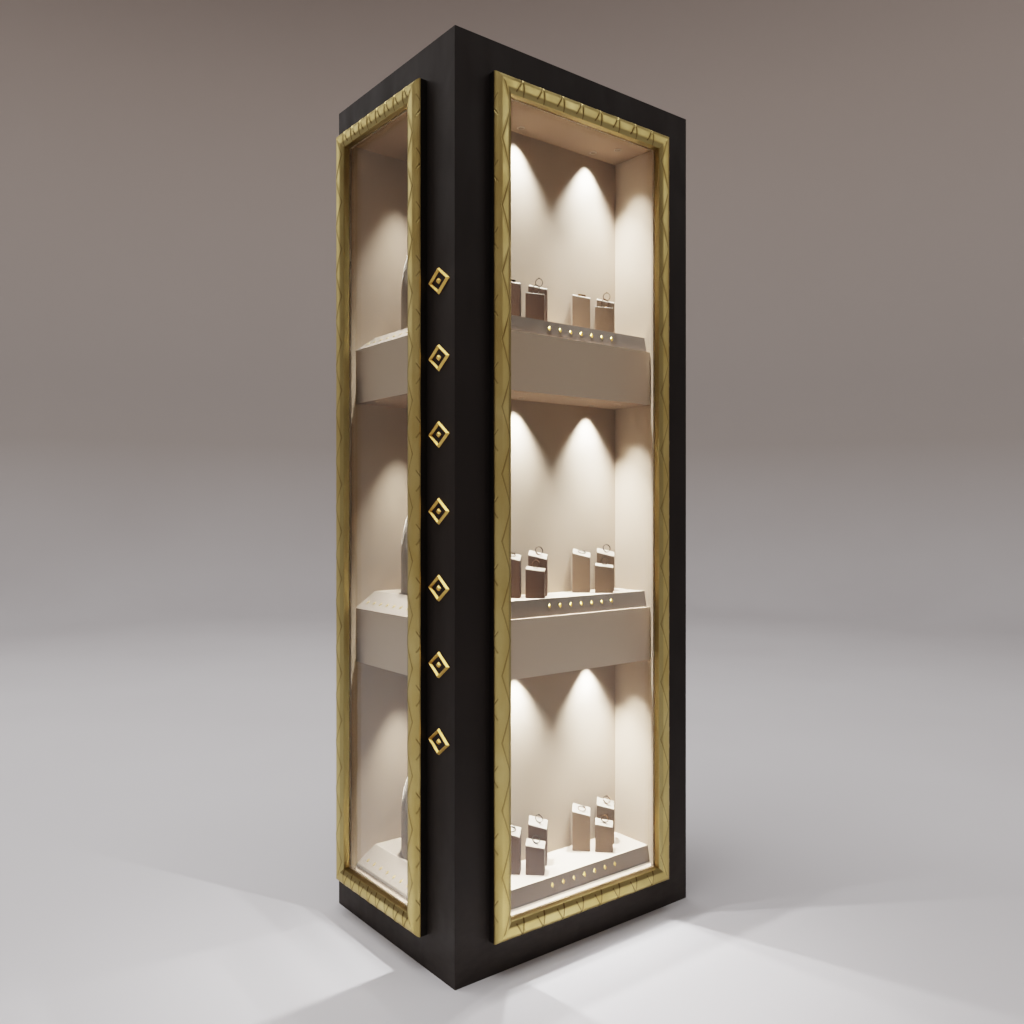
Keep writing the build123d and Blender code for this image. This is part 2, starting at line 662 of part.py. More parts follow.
# ==== Studs ===================================================================================
def lozenge(place, length, width, rise, band=0.0):
    """A raised diamond on a face, as a solid pyramid stub or as an open band with a centre."""
    with BuildPart() as stud:
        with BuildSketch(place):
            with BuildLine():
                Polyline((length / 2, 0), (0, width / 2), (-length / 2, 0), (0, -width / 2), close=True)
            make_face()
            if band:
                inner = 1 - 2 * band / width
                with BuildLine():
                    Polyline(
                        (length / 2 * inner, 0),
                        (0, width / 2 * inner),
                        (-length / 2 * inner, 0),
                        (0, -width / 2 * inner),
                        close=True,
                    )
                make_face(mode=Mode.SUBTRACT)
        extrude(amount=rise, taper=STUD_TAPER)
    return stud


big_studs = []
for number in range(STUD_COUNT):
    z = STUD_MIDDLE + (number - (STUD_COUNT - 1) / 2) * STUD_PITCH
    place = Plane(origin=(LEFT, STUD_Y, z), x_dir=(0, -1, 0), z_dir=(-1, 0, 0))
    big_studs.append(lozenge(place, STUD_LENGTH, STUD_WIDTH, STUD_RISE, STUD_BAND))
    big_studs.append(lozenge(place, STUD_LENGTH / 4, STUD_WIDTH / 4, STUD_RISE))
save(group(big_studs), "side_studs")

small_studs = []
for foot, floor in zip(PLINTH_FEET, FLOORS):
    for number in range(STUD_COUNT):
        x = FRONT_STUD_START + FRONT_STUD_PITCH * number
        y = foot + PLINTH_LEAN * FRONT_STUD_LEVEL / PLINTH_HEIGHT
        place = Plane(
            origin=(x, y, floor + FRONT_STUD_LEVEL),
            x_dir=(1, 0, 0),
            z_dir=(0, -PLINTH_HEIGHT, PLINTH_LEAN),
        )
        small_studs.append(lozenge(place, SMALL_STUD_WIDTH, SMALL_STUD_LENGTH, SMALL_STUD_RISE))
        x = SHELF_SIDE + PLINTH_SIDE_RUN * SIDE_STUD_LEVEL / PLINTH_HEIGHT
        y = SIDE_STUD_START + SIDE_STUD_PITCH * number
        place = Plane(
            origin=(x, y, floor + SIDE_STUD_LEVEL),
            x_dir=(0, -1, 0),
            z_dir=(-PLINTH_HEIGHT, 0, PLINTH_SIDE_RUN),
        )
        small_studs.append(lozenge(place, SMALL_STUD_WIDTH, SMALL_STUD_LENGTH, SMALL_STUD_RISE))
save(group(small_studs), "plinth_studs")


# ==== Doors ===================================================================================
TRIM_SHOULDER = 2               # straight rise at the trim's outer edge
TRIM_FLANK = ((5.2, 26.6), (13, TRIM_CREST))
TRIM_CROWN = ((25, TRIM_CREST - 0.2), (36, TRIM_CREST - 1.5))
TRIM_FALL = ((38.9, 28.2), (TRIM_WIDTH, 25))


def trim_piece(name, corner, inward, outward, length):
    """One mitred length of moulding. The corner is on the case's face at the door's outer edge."""
    inward = Vector(*inward)
    outward = Vector(*outward)
    along = inward.cross(outward)
    start = Vector(*corner)
    finish = start + along * length
    with BuildPart() as trim:
        with BuildSketch(Plane(origin=start, x_dir=inward, z_dir=along)):
            with BuildLine():
                Line((0, CORE_FACE), (0, CORE_FACE + TRIM_SHOULDER))
                ThreePointArc((0, CORE_FACE + TRIM_SHOULDER), *TRIM_FLANK)
                ThreePointArc(TRIM_FLANK[-1], *TRIM_CROWN)
                ThreePointArc(TRIM_CROWN[-1], *TRIM_FALL)
                Polyline(
                    TRIM_FALL[-1],
                    (TRIM_WIDTH, TRIM_LIP),
                    (CORE_WIDTH, TRIM_LIP),
                    (CORE_WIDTH, CORE_FACE),
                    (0, CORE_FACE),
                )
            make_face()
        extrude(amount=length)
        split(bisect_by=Plane(origin=start, z_dir=along - inward), keep=Keep.TOP)
        split(bisect_by=Plane(origin=finish, z_dir=-along - inward), keep=Keep.TOP)
    save(trim, name)


def door_leaf(middle, width, across, outward, name, bolt_hole, bolt_slot):
    """The black door core, drilled for its lock, with its glass and gasket."""
    across = Vector(*across)
    outward = Vector(*outward)
    middle = Vector(*middle)
    with BuildPart() as core:
        with BuildSketch(Plane(origin=middle + outward * DOOR_GAP, x_dir=across, z_dir=outward)):
            Rectangle(width, DOOR_HEIGHT)
            Rectangle(width - 2 * CORE_WIDTH, DOOR_HEIGHT - 2 * CORE_WIDTH, mode=Mode.SUBTRACT)
        extrude(amount=CORE_FACE - DOOR_GAP)
        with BuildSketch(Plane.XY.offset(DOOR_BOTTOM)):
            with Locations(bolt_hole):
                Circle(LOCK_RADIUS + LOCK_CLEARANCE)
        extrude(amount=BOLT_SLOT_Z[0] - DOOR_BOTTOM, mode=Mode.SUBTRACT)
        block(*bolt_slot, BOLT_SLOT_Z, Mode.SUBTRACT)
    save(core, f"{name}_core")
    edge = 2 * (CORE_WIDTH + GLASS_FIT)
    with BuildPart() as glass:
        with BuildSketch(Plane(origin=middle + outward * DOOR_GAP, x_dir=across, z_dir=outward)):
            Rectangle(width - edge, DOOR_HEIGHT - edge)
        extrude(amount=GLASS)
    save(glass, f"{name}_glass")
    inside = 2 * (TRIM_WIDTH + GASKET_SHOW)
    with BuildPart() as gasket:
        with BuildSketch(Plane(middle + outward * (DOOR_GAP + GLASS), x_dir=across, z_dir=outward)):
            Rectangle(width - edge, DOOR_HEIGHT - edge)
            Rectangle(width - inside, DOOR_HEIGHT - inside, mode=Mode.SUBTRACT)
        extrude(amount=GASKET)
    save(gasket, f"{name}_gasket")


FORWARD = (0, -1, 0)
LEFTWARD = (-1, 0, 0)
MIDDLE_Z = (DOOR_BOTTOM + DOOR_TOP) / 2
BOLT_ASIDE = 2                  # room beyond a bolt's tip inside the door
door_leaf(
    (0, FRONT, MIDDLE_Z),
    FRONT_DOOR_WIDTH,
    (1, 0, 0),
    (0, -1, 0),
    "front_door",
    FRONT_LOCK,
    (
        (FRONT_LOCK[0] - BOLT_LENGTH - BOLT_ASIDE, FRONT_LOCK[0] + LOCK_RADIUS + 1),
        (FRONT_LOCK[1] - LOCK_RADIUS - BOLT_FIT, FRONT),
    ),
)
trim_piece("front_trim_left", (-FRONT_DOOR_EDGE, FRONT, DOOR_TOP), (1, 0, 0), FORWARD, DOOR_HEIGHT)
trim_piece("front_trim_right", (FRONT_DOOR_EDGE, FRONT, DOOR_BOTTOM), (-1, 0, 0), FORWARD, DOOR_HEIGHT)
trim_piece("front_trim_top", (FRONT_DOOR_EDGE, FRONT, DOOR_TOP), (0, 0, -1), FORWARD, FRONT_DOOR_WIDTH)
trim_piece("front_trim_bottom", (-FRONT_DOOR_EDGE, FRONT, DOOR_BOTTOM), (0, 0, 1), FORWARD, FRONT_DOOR_WIDTH)

SIDE_DOOR_MIDDLE = (SIDE_DOOR_NEAR + SIDE_DOOR_FAR) / 2
door_leaf(
    (LEFT, SIDE_DOOR_MIDDLE, MIDDLE_Z),
    SIDE_DOOR_WIDTH,
    (0, 1, 0),
    (-1, 0, 0),
    "side_door",
    SIDE_LOCK,
    (
        (SIDE_LOCK[0] - LOCK_RADIUS - BOLT_FIT, LEFT),
        (SIDE_LOCK[1] - BOLT_LENGTH - BOLT_ASIDE, SIDE_LOCK[1] + LOCK_RADIUS + 1),
    ),
)
trim_piece("side_trim_near", (LEFT, SIDE_DOOR_NEAR, DOOR_BOTTOM), (0, 1, 0), LEFTWARD, DOOR_HEIGHT)
trim_piece("side_trim_far", (LEFT, SIDE_DOOR_FAR, DOOR_TOP), (0, -1, 0), LEFTWARD, DOOR_HEIGHT)
trim_piece("side_trim_top", (LEFT, SIDE_DOOR_NEAR, DOOR_TOP), (0, 0, -1), LEFTWARD, SIDE_DOOR_WIDTH)
trim_piece("side_trim_bottom", (LEFT, SIDE_DOOR_FAR, DOOR_BOTTOM), (0, 0, 1), LEFTWARD, SIDE_DOOR_WIDTH)


def lock(x, y, rest_angle):
    """A key cylinder in the door's bottom edge, with the bolt that it turns."""
    with BuildPart() as cylinder:
        with BuildSketch(Plane.XY.offset(DOOR_BOTTOM - LOCK_STAND)):
            with Locations((x, y)):
                Circle(LOCK_RADIUS)
        extrude(amount=BOLT_LOW - DOOR_BOTTOM + LOCK_STAND)
        with BuildSketch(Plane.XY.offset(BOLT_LOW)):
            with Locations(Location((x, y), rest_angle)):
                Circle(LOCK_RADIUS - BOLT_FIT)
                with Locations((BOLT_LENGTH / 2, 0)):
                    Rectangle(BOLT_LENGTH, BOLT_WIDTH)
        extrude(amount=BOLT_THICK)
        with BuildSketch(Plane.XY.offset(DOOR_BOTTOM - LOCK_STAND)):
            with Locations((x, y)):
                Rectangle(KEYWAY[0], KEYWAY[1])
        extrude(amount=KEYWAY[2], mode=Mode.SUBTRACT)
    return cylinder


save(lock(*FRONT_LOCK, 180), "front_lock_cylinder")
save(lock(*SIDE_LOCK, -90), "side_lock_cylinder")


# ==== Hinges ==================================================================================
def hinge_plane(axis, height, inward, outward):
    """A hinge's middle plane: x runs inwards over the door and y runs away from the case."""
    direction = Vector(*inward).cross(Vector(*outward))
    return Plane(origin=(axis[0], axis[1], height), x_dir=inward, z_dir=direction)


def fixed_leaf(place):
    """The leaf in the case's face, with the middle knuckle."""
    low = -HINGE_OUT - POCKET
    with BuildPart() as leaf:
        with BuildSketch(place):
            with Locations((LEAF_NEAR, low)):
                Rectangle(LEAF_FAR - LEAF_NEAR, LEAF, align=(Align.MIN, Align.MIN))
        extrude(amount=HINGE_LENGTH / 2, both=True)
        with BuildSketch(place):
            with Locations((0, low)):
                Rectangle(LEAF_NEAR, LEAF, align=(Align.MIN, Align.MIN))
            Circle(KNUCKLE)
        extrude(amount=KNUCKLE_LENGTH / 2, both=True)
        with BuildSketch(place):
            Circle(PIN)
        extrude(amount=KNUCKLE_LENGTH, both=True, mode=Mode.SUBTRACT)
    return leaf


def moving_leaf(place, reach):
    """The leaf on the door's edge, with the two outer knuckles."""
    with BuildPart() as leaf:
        with BuildSketch(place):
            with Locations((HINGE_ASIDE - LEAF, -LEAF)):
                Rectangle(LEAF, reach + LEAF, align=(Align.MIN, Align.MIN))
            Circle(KNUCKLE)
        extrude(amount=HINGE_LENGTH / 2, both=True)
        with BuildSketch(place):
            Rectangle(2 * HINGE_ASIDE + 1, 2 * KNUCKLE + 1)
        extrude(amount=KNUCKLE_LENGTH / 2 + KNUCKLE_GAP, both=True, mode=Mode.SUBTRACT)
        with BuildSketch(place):
            Circle(PIN + PIN_CLEARANCE)
        extrude(amount=HINGE_LENGTH, both=True, mode=Mode.SUBTRACT)
    return leaf


def hinge_pin(place):
    """The pin, flush with the ends of the knuckles."""
    with BuildPart() as pin:
        with BuildSketch(place):
            Circle(PIN)
        extrude(amount=HINGE_LENGTH / 2, both=True)
    return pin


hinge_sets = {
    "front_door": (FRONT_HINGE, HINGE_HEIGHTS, (-1, 0, 0), FORWARD, DOOR_LEAF_REACH),
    "side_door": (SIDE_HINGE, HINGE_HEIGHTS, (0, -1, 0), LEFTWARD, DOOR_LEAF_REACH),
    "hatch": (HATCH_HINGE, HATCH_HINGE_HEIGHTS, (-1, 0, 0), (0, 1, 0), HATCH_LEAF_REACH),
}
fixed_leaves = []
pins = []
for name, (axis, heights, inward, outward, reach) in hinge_sets.items():
    places = [hinge_plane(axis, height, inward, outward) for height in heights]
    fixed_leaves += [fixed_leaf(place) for place in places]
    pins += [hinge_pin(place) for place in places]
    save(group([moving_leaf(place, reach) for place in places]), f"{name}_hinge_leaves")
save(group(fixed_leaves), "fixed_hinge_leaves")
save(group(pins), "hinge_pins")

# ==== Rear service hatch ======================================================================
HATCH_BACK = REAR + DOOR_GAP
with BuildPart() as service_hatch:
    block((HATCH_LEFT, HATCH_RIGHT), (HATCH_BACK, HATCH_BACK + HATCH_THICK), (HATCH_BOTTOM, HATCH_TOP))
    chamfer(service_hatch.faces().sort_by(Axis.Y)[-1].edges(), length=EDGE_BREAK)
    with Locations(Plane((HATCH_LOCK_X, HATCH_BACK + HATCH_THICK, HATCH_LOCK_Z), z_dir=(0, 1, 0))):
        Hole(HATCH_LOCK_RADIUS + LOCK_CLEARANCE)
    vent = ((HATCH_LEFT + HATCH_RIGHT) / 2, HATCH_BACK, HATCH_TOP - VENT_BELOW_TOP)
    with BuildSketch(Plane(vent, x_dir=(1, 0, 0), z_dir=(0, 1, 0))):
        with GridLocations(0, VENT_PITCH, 1, VENT_SLOTS):
            SlotOverall(VENT_LENGTH, VENT_WIDTH)
    extrude(amount=HATCH_THICK, mode=Mode.SUBTRACT)
save(service_hatch, "service_hatch")

CAM_Y = INNER_REAR - CAM_BEHIND - CAM_THICK
HATCH_FACE = HATCH_BACK + HATCH_THICK
with BuildPart() as hatch_lock:
    barrel = Plane((HATCH_LOCK_X, CAM_Y, HATCH_LOCK_Z), x_dir=(1, 0, 0), z_dir=(0, 1, 0))
    with BuildSketch(barrel):
        Circle(HATCH_LOCK_RADIUS)
    extrude(amount=HATCH_FACE + LOCK_NECK - CAM_Y)
    with BuildSketch(barrel.offset(HATCH_FACE + LOCK_HEAD_GAP - CAM_Y)):
        Circle(HATCH_LOCK_RADIUS + LOCK_HEAD_LAP)
    extrude(amount=LOCK_HEAD)
    block(
        (HATCH_LOCK_X - CAM_WIDTH / 2, HATCH_LOCK_X + CAM_WIDTH / 2),
        (CAM_Y, CAM_Y + CAM_THICK),
        (HATCH_LOCK_Z - CAM_LENGTH, HATCH_LOCK_Z),
    )
    block(
        (HATCH_LOCK_X - COIN_SLOT_HALF[0], HATCH_LOCK_X + COIN_SLOT_HALF[0]),
        (HATCH_FACE - COIN_SLOT_DEPTH, HATCH_FACE + LOCK_HEAD + 1),
        (HATCH_LOCK_Z - COIN_SLOT_HALF[1], HATCH_LOCK_Z + COIN_SLOT_HALF[1]),
        Mode.SUBTRACT,
    )
save(hatch_lock, "hatch_lock")
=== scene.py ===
"""Looks for the glass display showcase: finishes, carved mouldings, busts, rings and light.

Metres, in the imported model's frame: +Z up, the front window faces -Y and the side window faces -X.
"""

import json
import math

import bmesh
import bpy
import numpy as np
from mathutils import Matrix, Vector


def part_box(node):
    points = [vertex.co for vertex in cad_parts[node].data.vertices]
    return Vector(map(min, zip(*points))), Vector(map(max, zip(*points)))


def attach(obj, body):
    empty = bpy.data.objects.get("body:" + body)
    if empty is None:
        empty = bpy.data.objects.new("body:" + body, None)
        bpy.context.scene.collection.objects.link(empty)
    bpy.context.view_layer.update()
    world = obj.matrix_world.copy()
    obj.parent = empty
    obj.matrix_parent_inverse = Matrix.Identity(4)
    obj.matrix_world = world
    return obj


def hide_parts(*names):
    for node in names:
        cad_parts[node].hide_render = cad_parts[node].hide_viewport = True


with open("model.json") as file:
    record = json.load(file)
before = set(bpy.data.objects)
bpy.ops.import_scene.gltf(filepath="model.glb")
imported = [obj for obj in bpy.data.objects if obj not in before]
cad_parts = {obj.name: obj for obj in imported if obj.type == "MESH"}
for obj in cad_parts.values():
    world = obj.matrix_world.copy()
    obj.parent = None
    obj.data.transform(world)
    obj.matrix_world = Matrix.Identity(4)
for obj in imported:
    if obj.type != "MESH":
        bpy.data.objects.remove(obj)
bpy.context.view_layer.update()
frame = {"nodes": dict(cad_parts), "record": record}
nodes = frame["nodes"]

MM = 0.001


# ==== Camera ==================================================================================
CAMERA_PLACE = (-1.39324, -1.77505, 0.9906)
CAMERA_TURN = math.radians(-38.01)      # from looking along +Y
CAMERA_LENS = 31.09
CAMERA_SENSOR = 36

camera = bpy.data.objects.new("camera", bpy.data.cameras.new("camera"))
camera.location = CAMERA_PLACE
camera.rotation_euler = (math.radians(90), 0, CAMERA_TURN)
camera.data.lens = CAMERA_LENS
camera.data.sensor_width = CAMERA_SENSOR
bpy.context.collection.objects.link(camera)
bpy.context.scene.camera = camera
bpy.context.scene.view_settings.view_transform = "Filmic"
bpy.context.scene.view_settings.look = "Medium High Contrast"


# ==== Material tools ==========================================================================
def srgb(red, green, blue):
    """A colour given as display values from 0 to 255, as the linear values that a shader takes."""
    return (*[((value / 255 + 0.055) / 1.055) ** 2.4 for value in (red, green, blue)], 1.0)


def cut_to(share, colour):
    """A display colour with each of its values cut to a share."""
    return srgb(*[share * value for value in colour])


class Finish:
    """One material: procedural textures, in the part's own metres, that feed a Principled shader."""

    def __init__(self, name, surface):
        self.material = bpy.data.materials.new(name)
        self.material.use_nodes = True
        self.tree = self.material.node_tree
        self.shader = self.tree.nodes["Principled BSDF"]
        self.place = self.tree.nodes.new("ShaderNodeTexCoord").outputs["Object"]
        for socket, value in surface.items():
            self.feed(self.shader.inputs[socket], value)

    def feed(self, socket, value):
        """Links a socket to another, or sets it to a plain value."""
        if isinstance(value, bpy.types.NodeSocket):
            self.tree.links.new(value, socket)
        else:
            socket.default_value = value

    def node(self, kind, sockets, **settings):
        """A new node, with its settings and what goes into its sockets."""
        made = self.tree.nodes.new("ShaderNode" + kind)
        for name, value in settings.items():
            setattr(made, name, value)
        for socket, value in sockets.items():
            self.feed(made.inputs[socket], value)
        return made

    def scaled(self, stretch):
        """Object coordinates divided by stretch along each axis."""
        return self.node("Mapping", {"Vector": self.place, "Scale": [1 / s for s in stretch]}).outputs[0]

    def noise(self, size, detail=3.0, stretch=(1, 1, 1), distortion=0.0):
        """Noise from 0 to 1 in blotches of about size metres, drawn out along each axis by stretch."""
        place = self.scaled([size * s for s in stretch])
        return self.node(
            "TexNoise", {"Vector": place, "Scale": 1.0, "Detail": detail, "Distortion": distortion}
        ).outputs[0]

    def cells(self, size, feature="F1"):
        """Distance to the nearest of scattered points about size metres apart, or to a cell's edge."""
        place = self.scaled((size, size, size))
        return self.node("TexVoronoi", {"Vector": place, "Scale": 1.0}, feature=feature).outputs["Distance"]

    def spread(self, value, low, high, start=0.25, stop=0.75):
        """Value's stretch from start to stop, as low to high."""
        sockets = {"Value": value, "From Min": start, "From Max": stop, "To Min": low, "To Max": high}
        return self.node("MapRange", sockets).outputs[0]

    def maths(self, operation, first, second=0.0):
        """One arithmetic step on two values or sockets."""
        return self.node("Math", {0: first, 1: second}, operation=operation).outputs[0]

    def blend(self, factor, first, second, how="MIX"):
        """Two colours mixed by a factor."""
        sockets = {0: factor, 6: first, 7: second}
        return self.node("Mix", sockets, data_type="RGBA", blend_type=how).outputs[2]

    def attribute(self, name):
        """A value stored on the mesh's points."""
        return self.node("Attribute", {}, attribute_name=name).outputs["Fac"]

    def axis(self, letter):
        """One object coordinate, in metres."""
        return self.node("SeparateXYZ", {"Vector": self.place}).outputs[letter]

    def bump(self, height, distance, strength=1.0, under=None):
        """A bump of height times distance metres, over another bump if one is given."""
        sockets = {"Height": height, "Distance": distance, "Strength": strength}
        if under is not None:
            sockets["Normal"] = under
        return self.node("Bump", sockets).outputs[0]

    def surface(self, **sockets):
        """Sets the shader's colour, roughness or normal, and returns the material."""
        names = {"colour": "Base Color", "roughness": "Roughness", "normal": "Normal"}
        for name, value in sockets.items():
            self.feed(self.shader.inputs[names[name]], value)
        return self.material


# ==== Finishes ================================================================================
DUST_HEIGHT = 0.22
FLANK_SHADE = 0.8               # of the gilding where it falls away to the pane
# Where the suede's painted light and shade change with the way a face points:
FRONT_TILT = (0.5, 0.75)        # what the normal's Z passes through from a front to a slope,
SLOPE_TILT = (0.93, 0.97)       # from a slope to a top,
UNDER_TILT = (-0.9, -0.5)       # and from an underside to a front
# Painted shadow round the foot of the bottom plinth
GAP_SHADE = (46, 37, 31)
LEFT_STANDS_END = 0.05          # how far right the darker ring stands reach
CLEAR_TINT = (0.955, 0.965, 0.95, 1)
SHADOW_TINT = (0.38, 0.38, 0.38, 1)


def lacquer(name, deep, pale, roughness):
    """Sprayed satin lacquer on board: orange peel, cloudy handling marks and dust low down."""
    finish = Finish(name, {"Specular IOR Level": 0.22})
    clouds = finish.noise(0.35, 4.0)
    colour = finish.blend(finish.spread(clouds, 0.0, 1.0), srgb(*deep), srgb(*pale))
    low_down = finish.spread(finish.axis("Z"), 0.35, 0.0, 0.0, DUST_HEIGHT)
    dust_and_shade = finish.maths("MULTIPLY", low_down, finish.noise(0.03, 5.0, (1, 1, 0.4)))
    colour = finish.blend(dust_and_shade, colour, srgb(92, 84, 78))
    smears = finish.noise(0.05, 6.0, (1, 1, 2.5), 0.6)
    peel = finish.noise(0.0018, 2.0)
    return finish.surface(
        colour=colour,
        roughness=finish.spread(smears, roughness - 0.07, roughness + 0.09),
        normal=finish.bump(peel, 0.00006, 0.5),
    )


def gold_leaf(name, pale, deep, patina_shade_colour=None):
    """Satin gilding: tarnished patches, faint casting marks, patina in the carving, painted shade towards
    the pane.
    """
    finish = Finish(name, {"Metallic": 1.0})
    tarnish = finish.noise(0.09, 5.0, (1, 1, 1.6), 0.4)
    colour = finish.blend(finish.spread(tarnish, 0.0, 1.0, 0.3, 0.72), srgb(*pale), srgb(*deep))
    specks = finish.spread(finish.noise(0.0035, 3.0), 0.0, 0.35, 0.6, 0.75)
    colour = finish.blend(specks, colour, srgb(*deep))
    if patina_shade_colour is not None:
        # Painted shade: the flank that falls away to the pane is darker.
        colour = finish.blend(finish.attribute("inward"), colour, cut_to(FLANK_SHADE, pale))
        # Patina in the carved lines, with painted shade in the step beside the pane and on the bottom
        # rails' flanks.
        colour = finish.blend(finish.attribute("patina_and_shade"), colour, srgb(*patina_shade_colour))
    brushed = finish.noise(0.0012, 2.0)
    cast = finish.noise(0.012, 3.0)
    normal = finish.bump(cast, 0.0005, 0.35)
    return finish.surface(
        colour=colour,
        roughness=finish.spread(finish.noise(0.02, 5.0), 0.34, 0.5),
        normal=finish.bump(brushed, 0.00005, 0.5, normal),
    )


def shadow_gap(finish, corner):
    """1 in a painted shadow round the foot of the plinth with the given lowest corner, and behind it; 0
    elsewhere.
    """
    ahead = finish.spread(finish.axis("Y"), 0.0, 1.0, corner.y - 9.5 * MM, corner.y - 7 * MM)
    low_down = finish.spread(finish.axis("Z"), 1.0, 0.0, corner.z + 3 * MM, corner.z + 5 * MM)
    aside = finish.spread(finish.axis("X"), 0.0, 1.0, corner.x - 6.5 * MM, corner.x - 5 * MM)
    return finish.maths("MULTIPLY", finish.maths("MULTIPLY", ahead, aside), low_down)


def suede(name, light, shade, nap, under=None, front=None, slope_shade=None, foot=None):
    """Stretched microsuede with a short nap and brushed patches.

    Undersides, slopes and fronts may take their own colours: painted shade if darker, painted light if
    paler.
    Foot is the corner of a plinth with a painted shadow round it.
    """
    finish = Finish(name, {"Sheen Weight": 0.12, "Sheen Roughness": 0.5, "Specular IOR Level": 0.2})
    brushed = finish.noise(0.16, 5.0, (1, 1, 1.4), 0.5)
    colour = finish.blend(finish.spread(brushed, 0.0, 1.0), srgb(*light), srgb(*shade))
    facing = finish.tree.nodes["Texture Coordinate"].outputs["Normal"]
    level = finish.node("SeparateXYZ", {"Vector": facing}).outputs["Z"]
    # Painted shade: faces steeper than a top take the slope colour.
    if slope_shade is not None:
        colour = finish.blend(finish.spread(level, 0.0, 1.0, *SLOPE_TILT), srgb(*slope_shade), colour)
    # Fronts and sides take their own colour: painted shade where it is darker, painted light where it is
    # paler.
    if front is not None:
        colour = finish.blend(finish.spread(level, 0.0, 1.0, *FRONT_TILT), srgb(*front), colour)
    # Painted shade: undersides are darker.
    if under is not None:
        colour = finish.blend(finish.spread(level, 1.0, 0.0, *UNDER_TILT), colour, srgb(*under))
    # Painted shadow round the foot of the bottom plinth.
    if foot is not None:
        colour = finish.blend(shadow_gap(finish, foot), colour, srgb(*GAP_SHADE))
    fibres = finish.noise(nap, 3.0, (1, 1, 1.8))
    return finish.surface(
        colour=finish.blend(finish.spread(fibres, 0.0, 0.22), colour, srgb(*shade)),
        roughness=finish.spread(brushed, 0.82, 0.95),
        normal=finish.bump(fibres, 0.00025, 0.5),
    )


def leather(name, light, shade, grain, darker_left=None):
    """Wrapped hide: pebbled grain with darker creases, and a darker colour on the left-hand stands."""
    finish = Finish(name, {"Specular IOR Level": 0.14})
    dye = finish.noise(0.03, 4.0, distortion=0.4)
    colour = finish.blend(finish.spread(dye, 0.0, 1.0), srgb(*light), srgb(*shade))
    if darker_left is not None:
        right_hand = finish.spread(finish.axis("X"), 0.0, 1.0, LEFT_STANDS_END, LEFT_STANDS_END + 10 * MM)
        colour = finish.blend(right_hand, srgb(*darker_left), colour)
    pebbles = finish.cells(grain)
    return finish.surface(
        colour=finish.blend(finish.spread(pebbles, 0.0, 0.5, 0.35, 0.8), colour, cut_to(0.6, shade)),
        roughness=finish.spread(dye, 0.45, 0.62),
        normal=finish.bump(finish.spread(pebbles, 1.0, 0.0, 0.0, 0.8), 0.0003, 0.6),
    )


def velvet(name, light, shade):
    """Flocked velvet on a display form: soft pile, stroked patches and a pale edge."""
    pile_sheen = {"Sheen Weight": 0.7, "Sheen Roughness": 0.35, "Sheen Tint": srgb(214, 200, 184)}
    finish = Finish(name, {**pile_sheen, "Roughness": 0.95})
    stroked = finish.noise(0.07, 4.0, (1, 1, 1.8), 0.8)
    pile = finish.noise(0.0009, 2.0)
    return finish.surface(
        colour=finish.blend(finish.spread(stroked, 0.0, 1.0), srgb(*light), srgb(*shade)),
        normal=finish.bump(pile, 0.0004, 0.7),
    )


def metal(name, colour, worn, roughness, stretch=(1, 1, 1), metallic=1.0, plating=None):
    """Machined metal with grain along one axis and slightly worn patches, plated where "tone" says so."""
    finish = Finish(name, {"Metallic": metallic})
    wear = finish.noise(0.012, 5.0)
    grain = finish.noise(0.0006, 2.0, stretch)
    base = finish.blend(finish.spread(wear, 0.0, 1.0), srgb(*colour), srgb(*worn))
    if plating is not None:
        base = finish.blend(finish.attribute("tone"), base, srgb(*plating))
    return finish.surface(
        colour=base,
        roughness=finish.spread(grain, roughness - 0.05, roughness + 0.1),
        normal=finish.bump(grain, 0.00004, 0.4),
    )


def plastic(name, colour, roughness):
    """Moulded plastic: fine spark texture and a little handling shine."""
    finish = Finish(name, {"Specular IOR Level": 0.45})
    shine = finish.noise(0.03, 4.0)
    spark = finish.noise(0.0006, 2.0)
    return finish.surface(
        colour=finish.blend(finish.spread(shine, 0.0, 1.0), srgb(*colour), cut_to(0.86, colour)),
        roughness=finish.spread(shine, roughness - 0.08, roughness + 0.08),
        normal=finish.bump(spark, 0.00006, 0.6),
    )


def fibre_board(name, light, shade):
    """Raw medium-density board: pressed fibres and darker flecks."""
    finish = Finish(name, {"Specular IOR Level": 0.25})
    fibres = finish.noise(0.002, 5.0, (3, 3, 1))
    flecks = finish.spread(finish.noise(0.0012, 2.0), 0.0, 0.5, 0.62, 0.72)
    colour = finish.blend(finish.spread(fibres, 0.0, 1.0), srgb(*light), srgb(*shade))
    return finish.surface(
        colour=finish.blend(flecks, colour, srgb(88, 66, 45)),
        roughness=finish.spread(fibres, 0.7, 0.85),
        normal=finish.bump(fibres, 0.0002, 0.4),
    )


def rubber(name, light, shade):
    """Soft translucent silicone cord that catches the display light."""
    finish = Finish(name, {"Transmission Weight": 0.85, "IOR": 1.25, "Coat Weight": 0.3})
    marks = finish.noise(0.01, 4.0, (1, 1, 4))
    return finish.surface(
        colour=finish.blend(finish.spread(marks, 0.0, 1.0), srgb(*light), srgb(*shade)),
        roughness=finish.spread(marks, 0.25, 0.42),
        normal=finish.bump(marks, 0.0002, 0.3),
    )


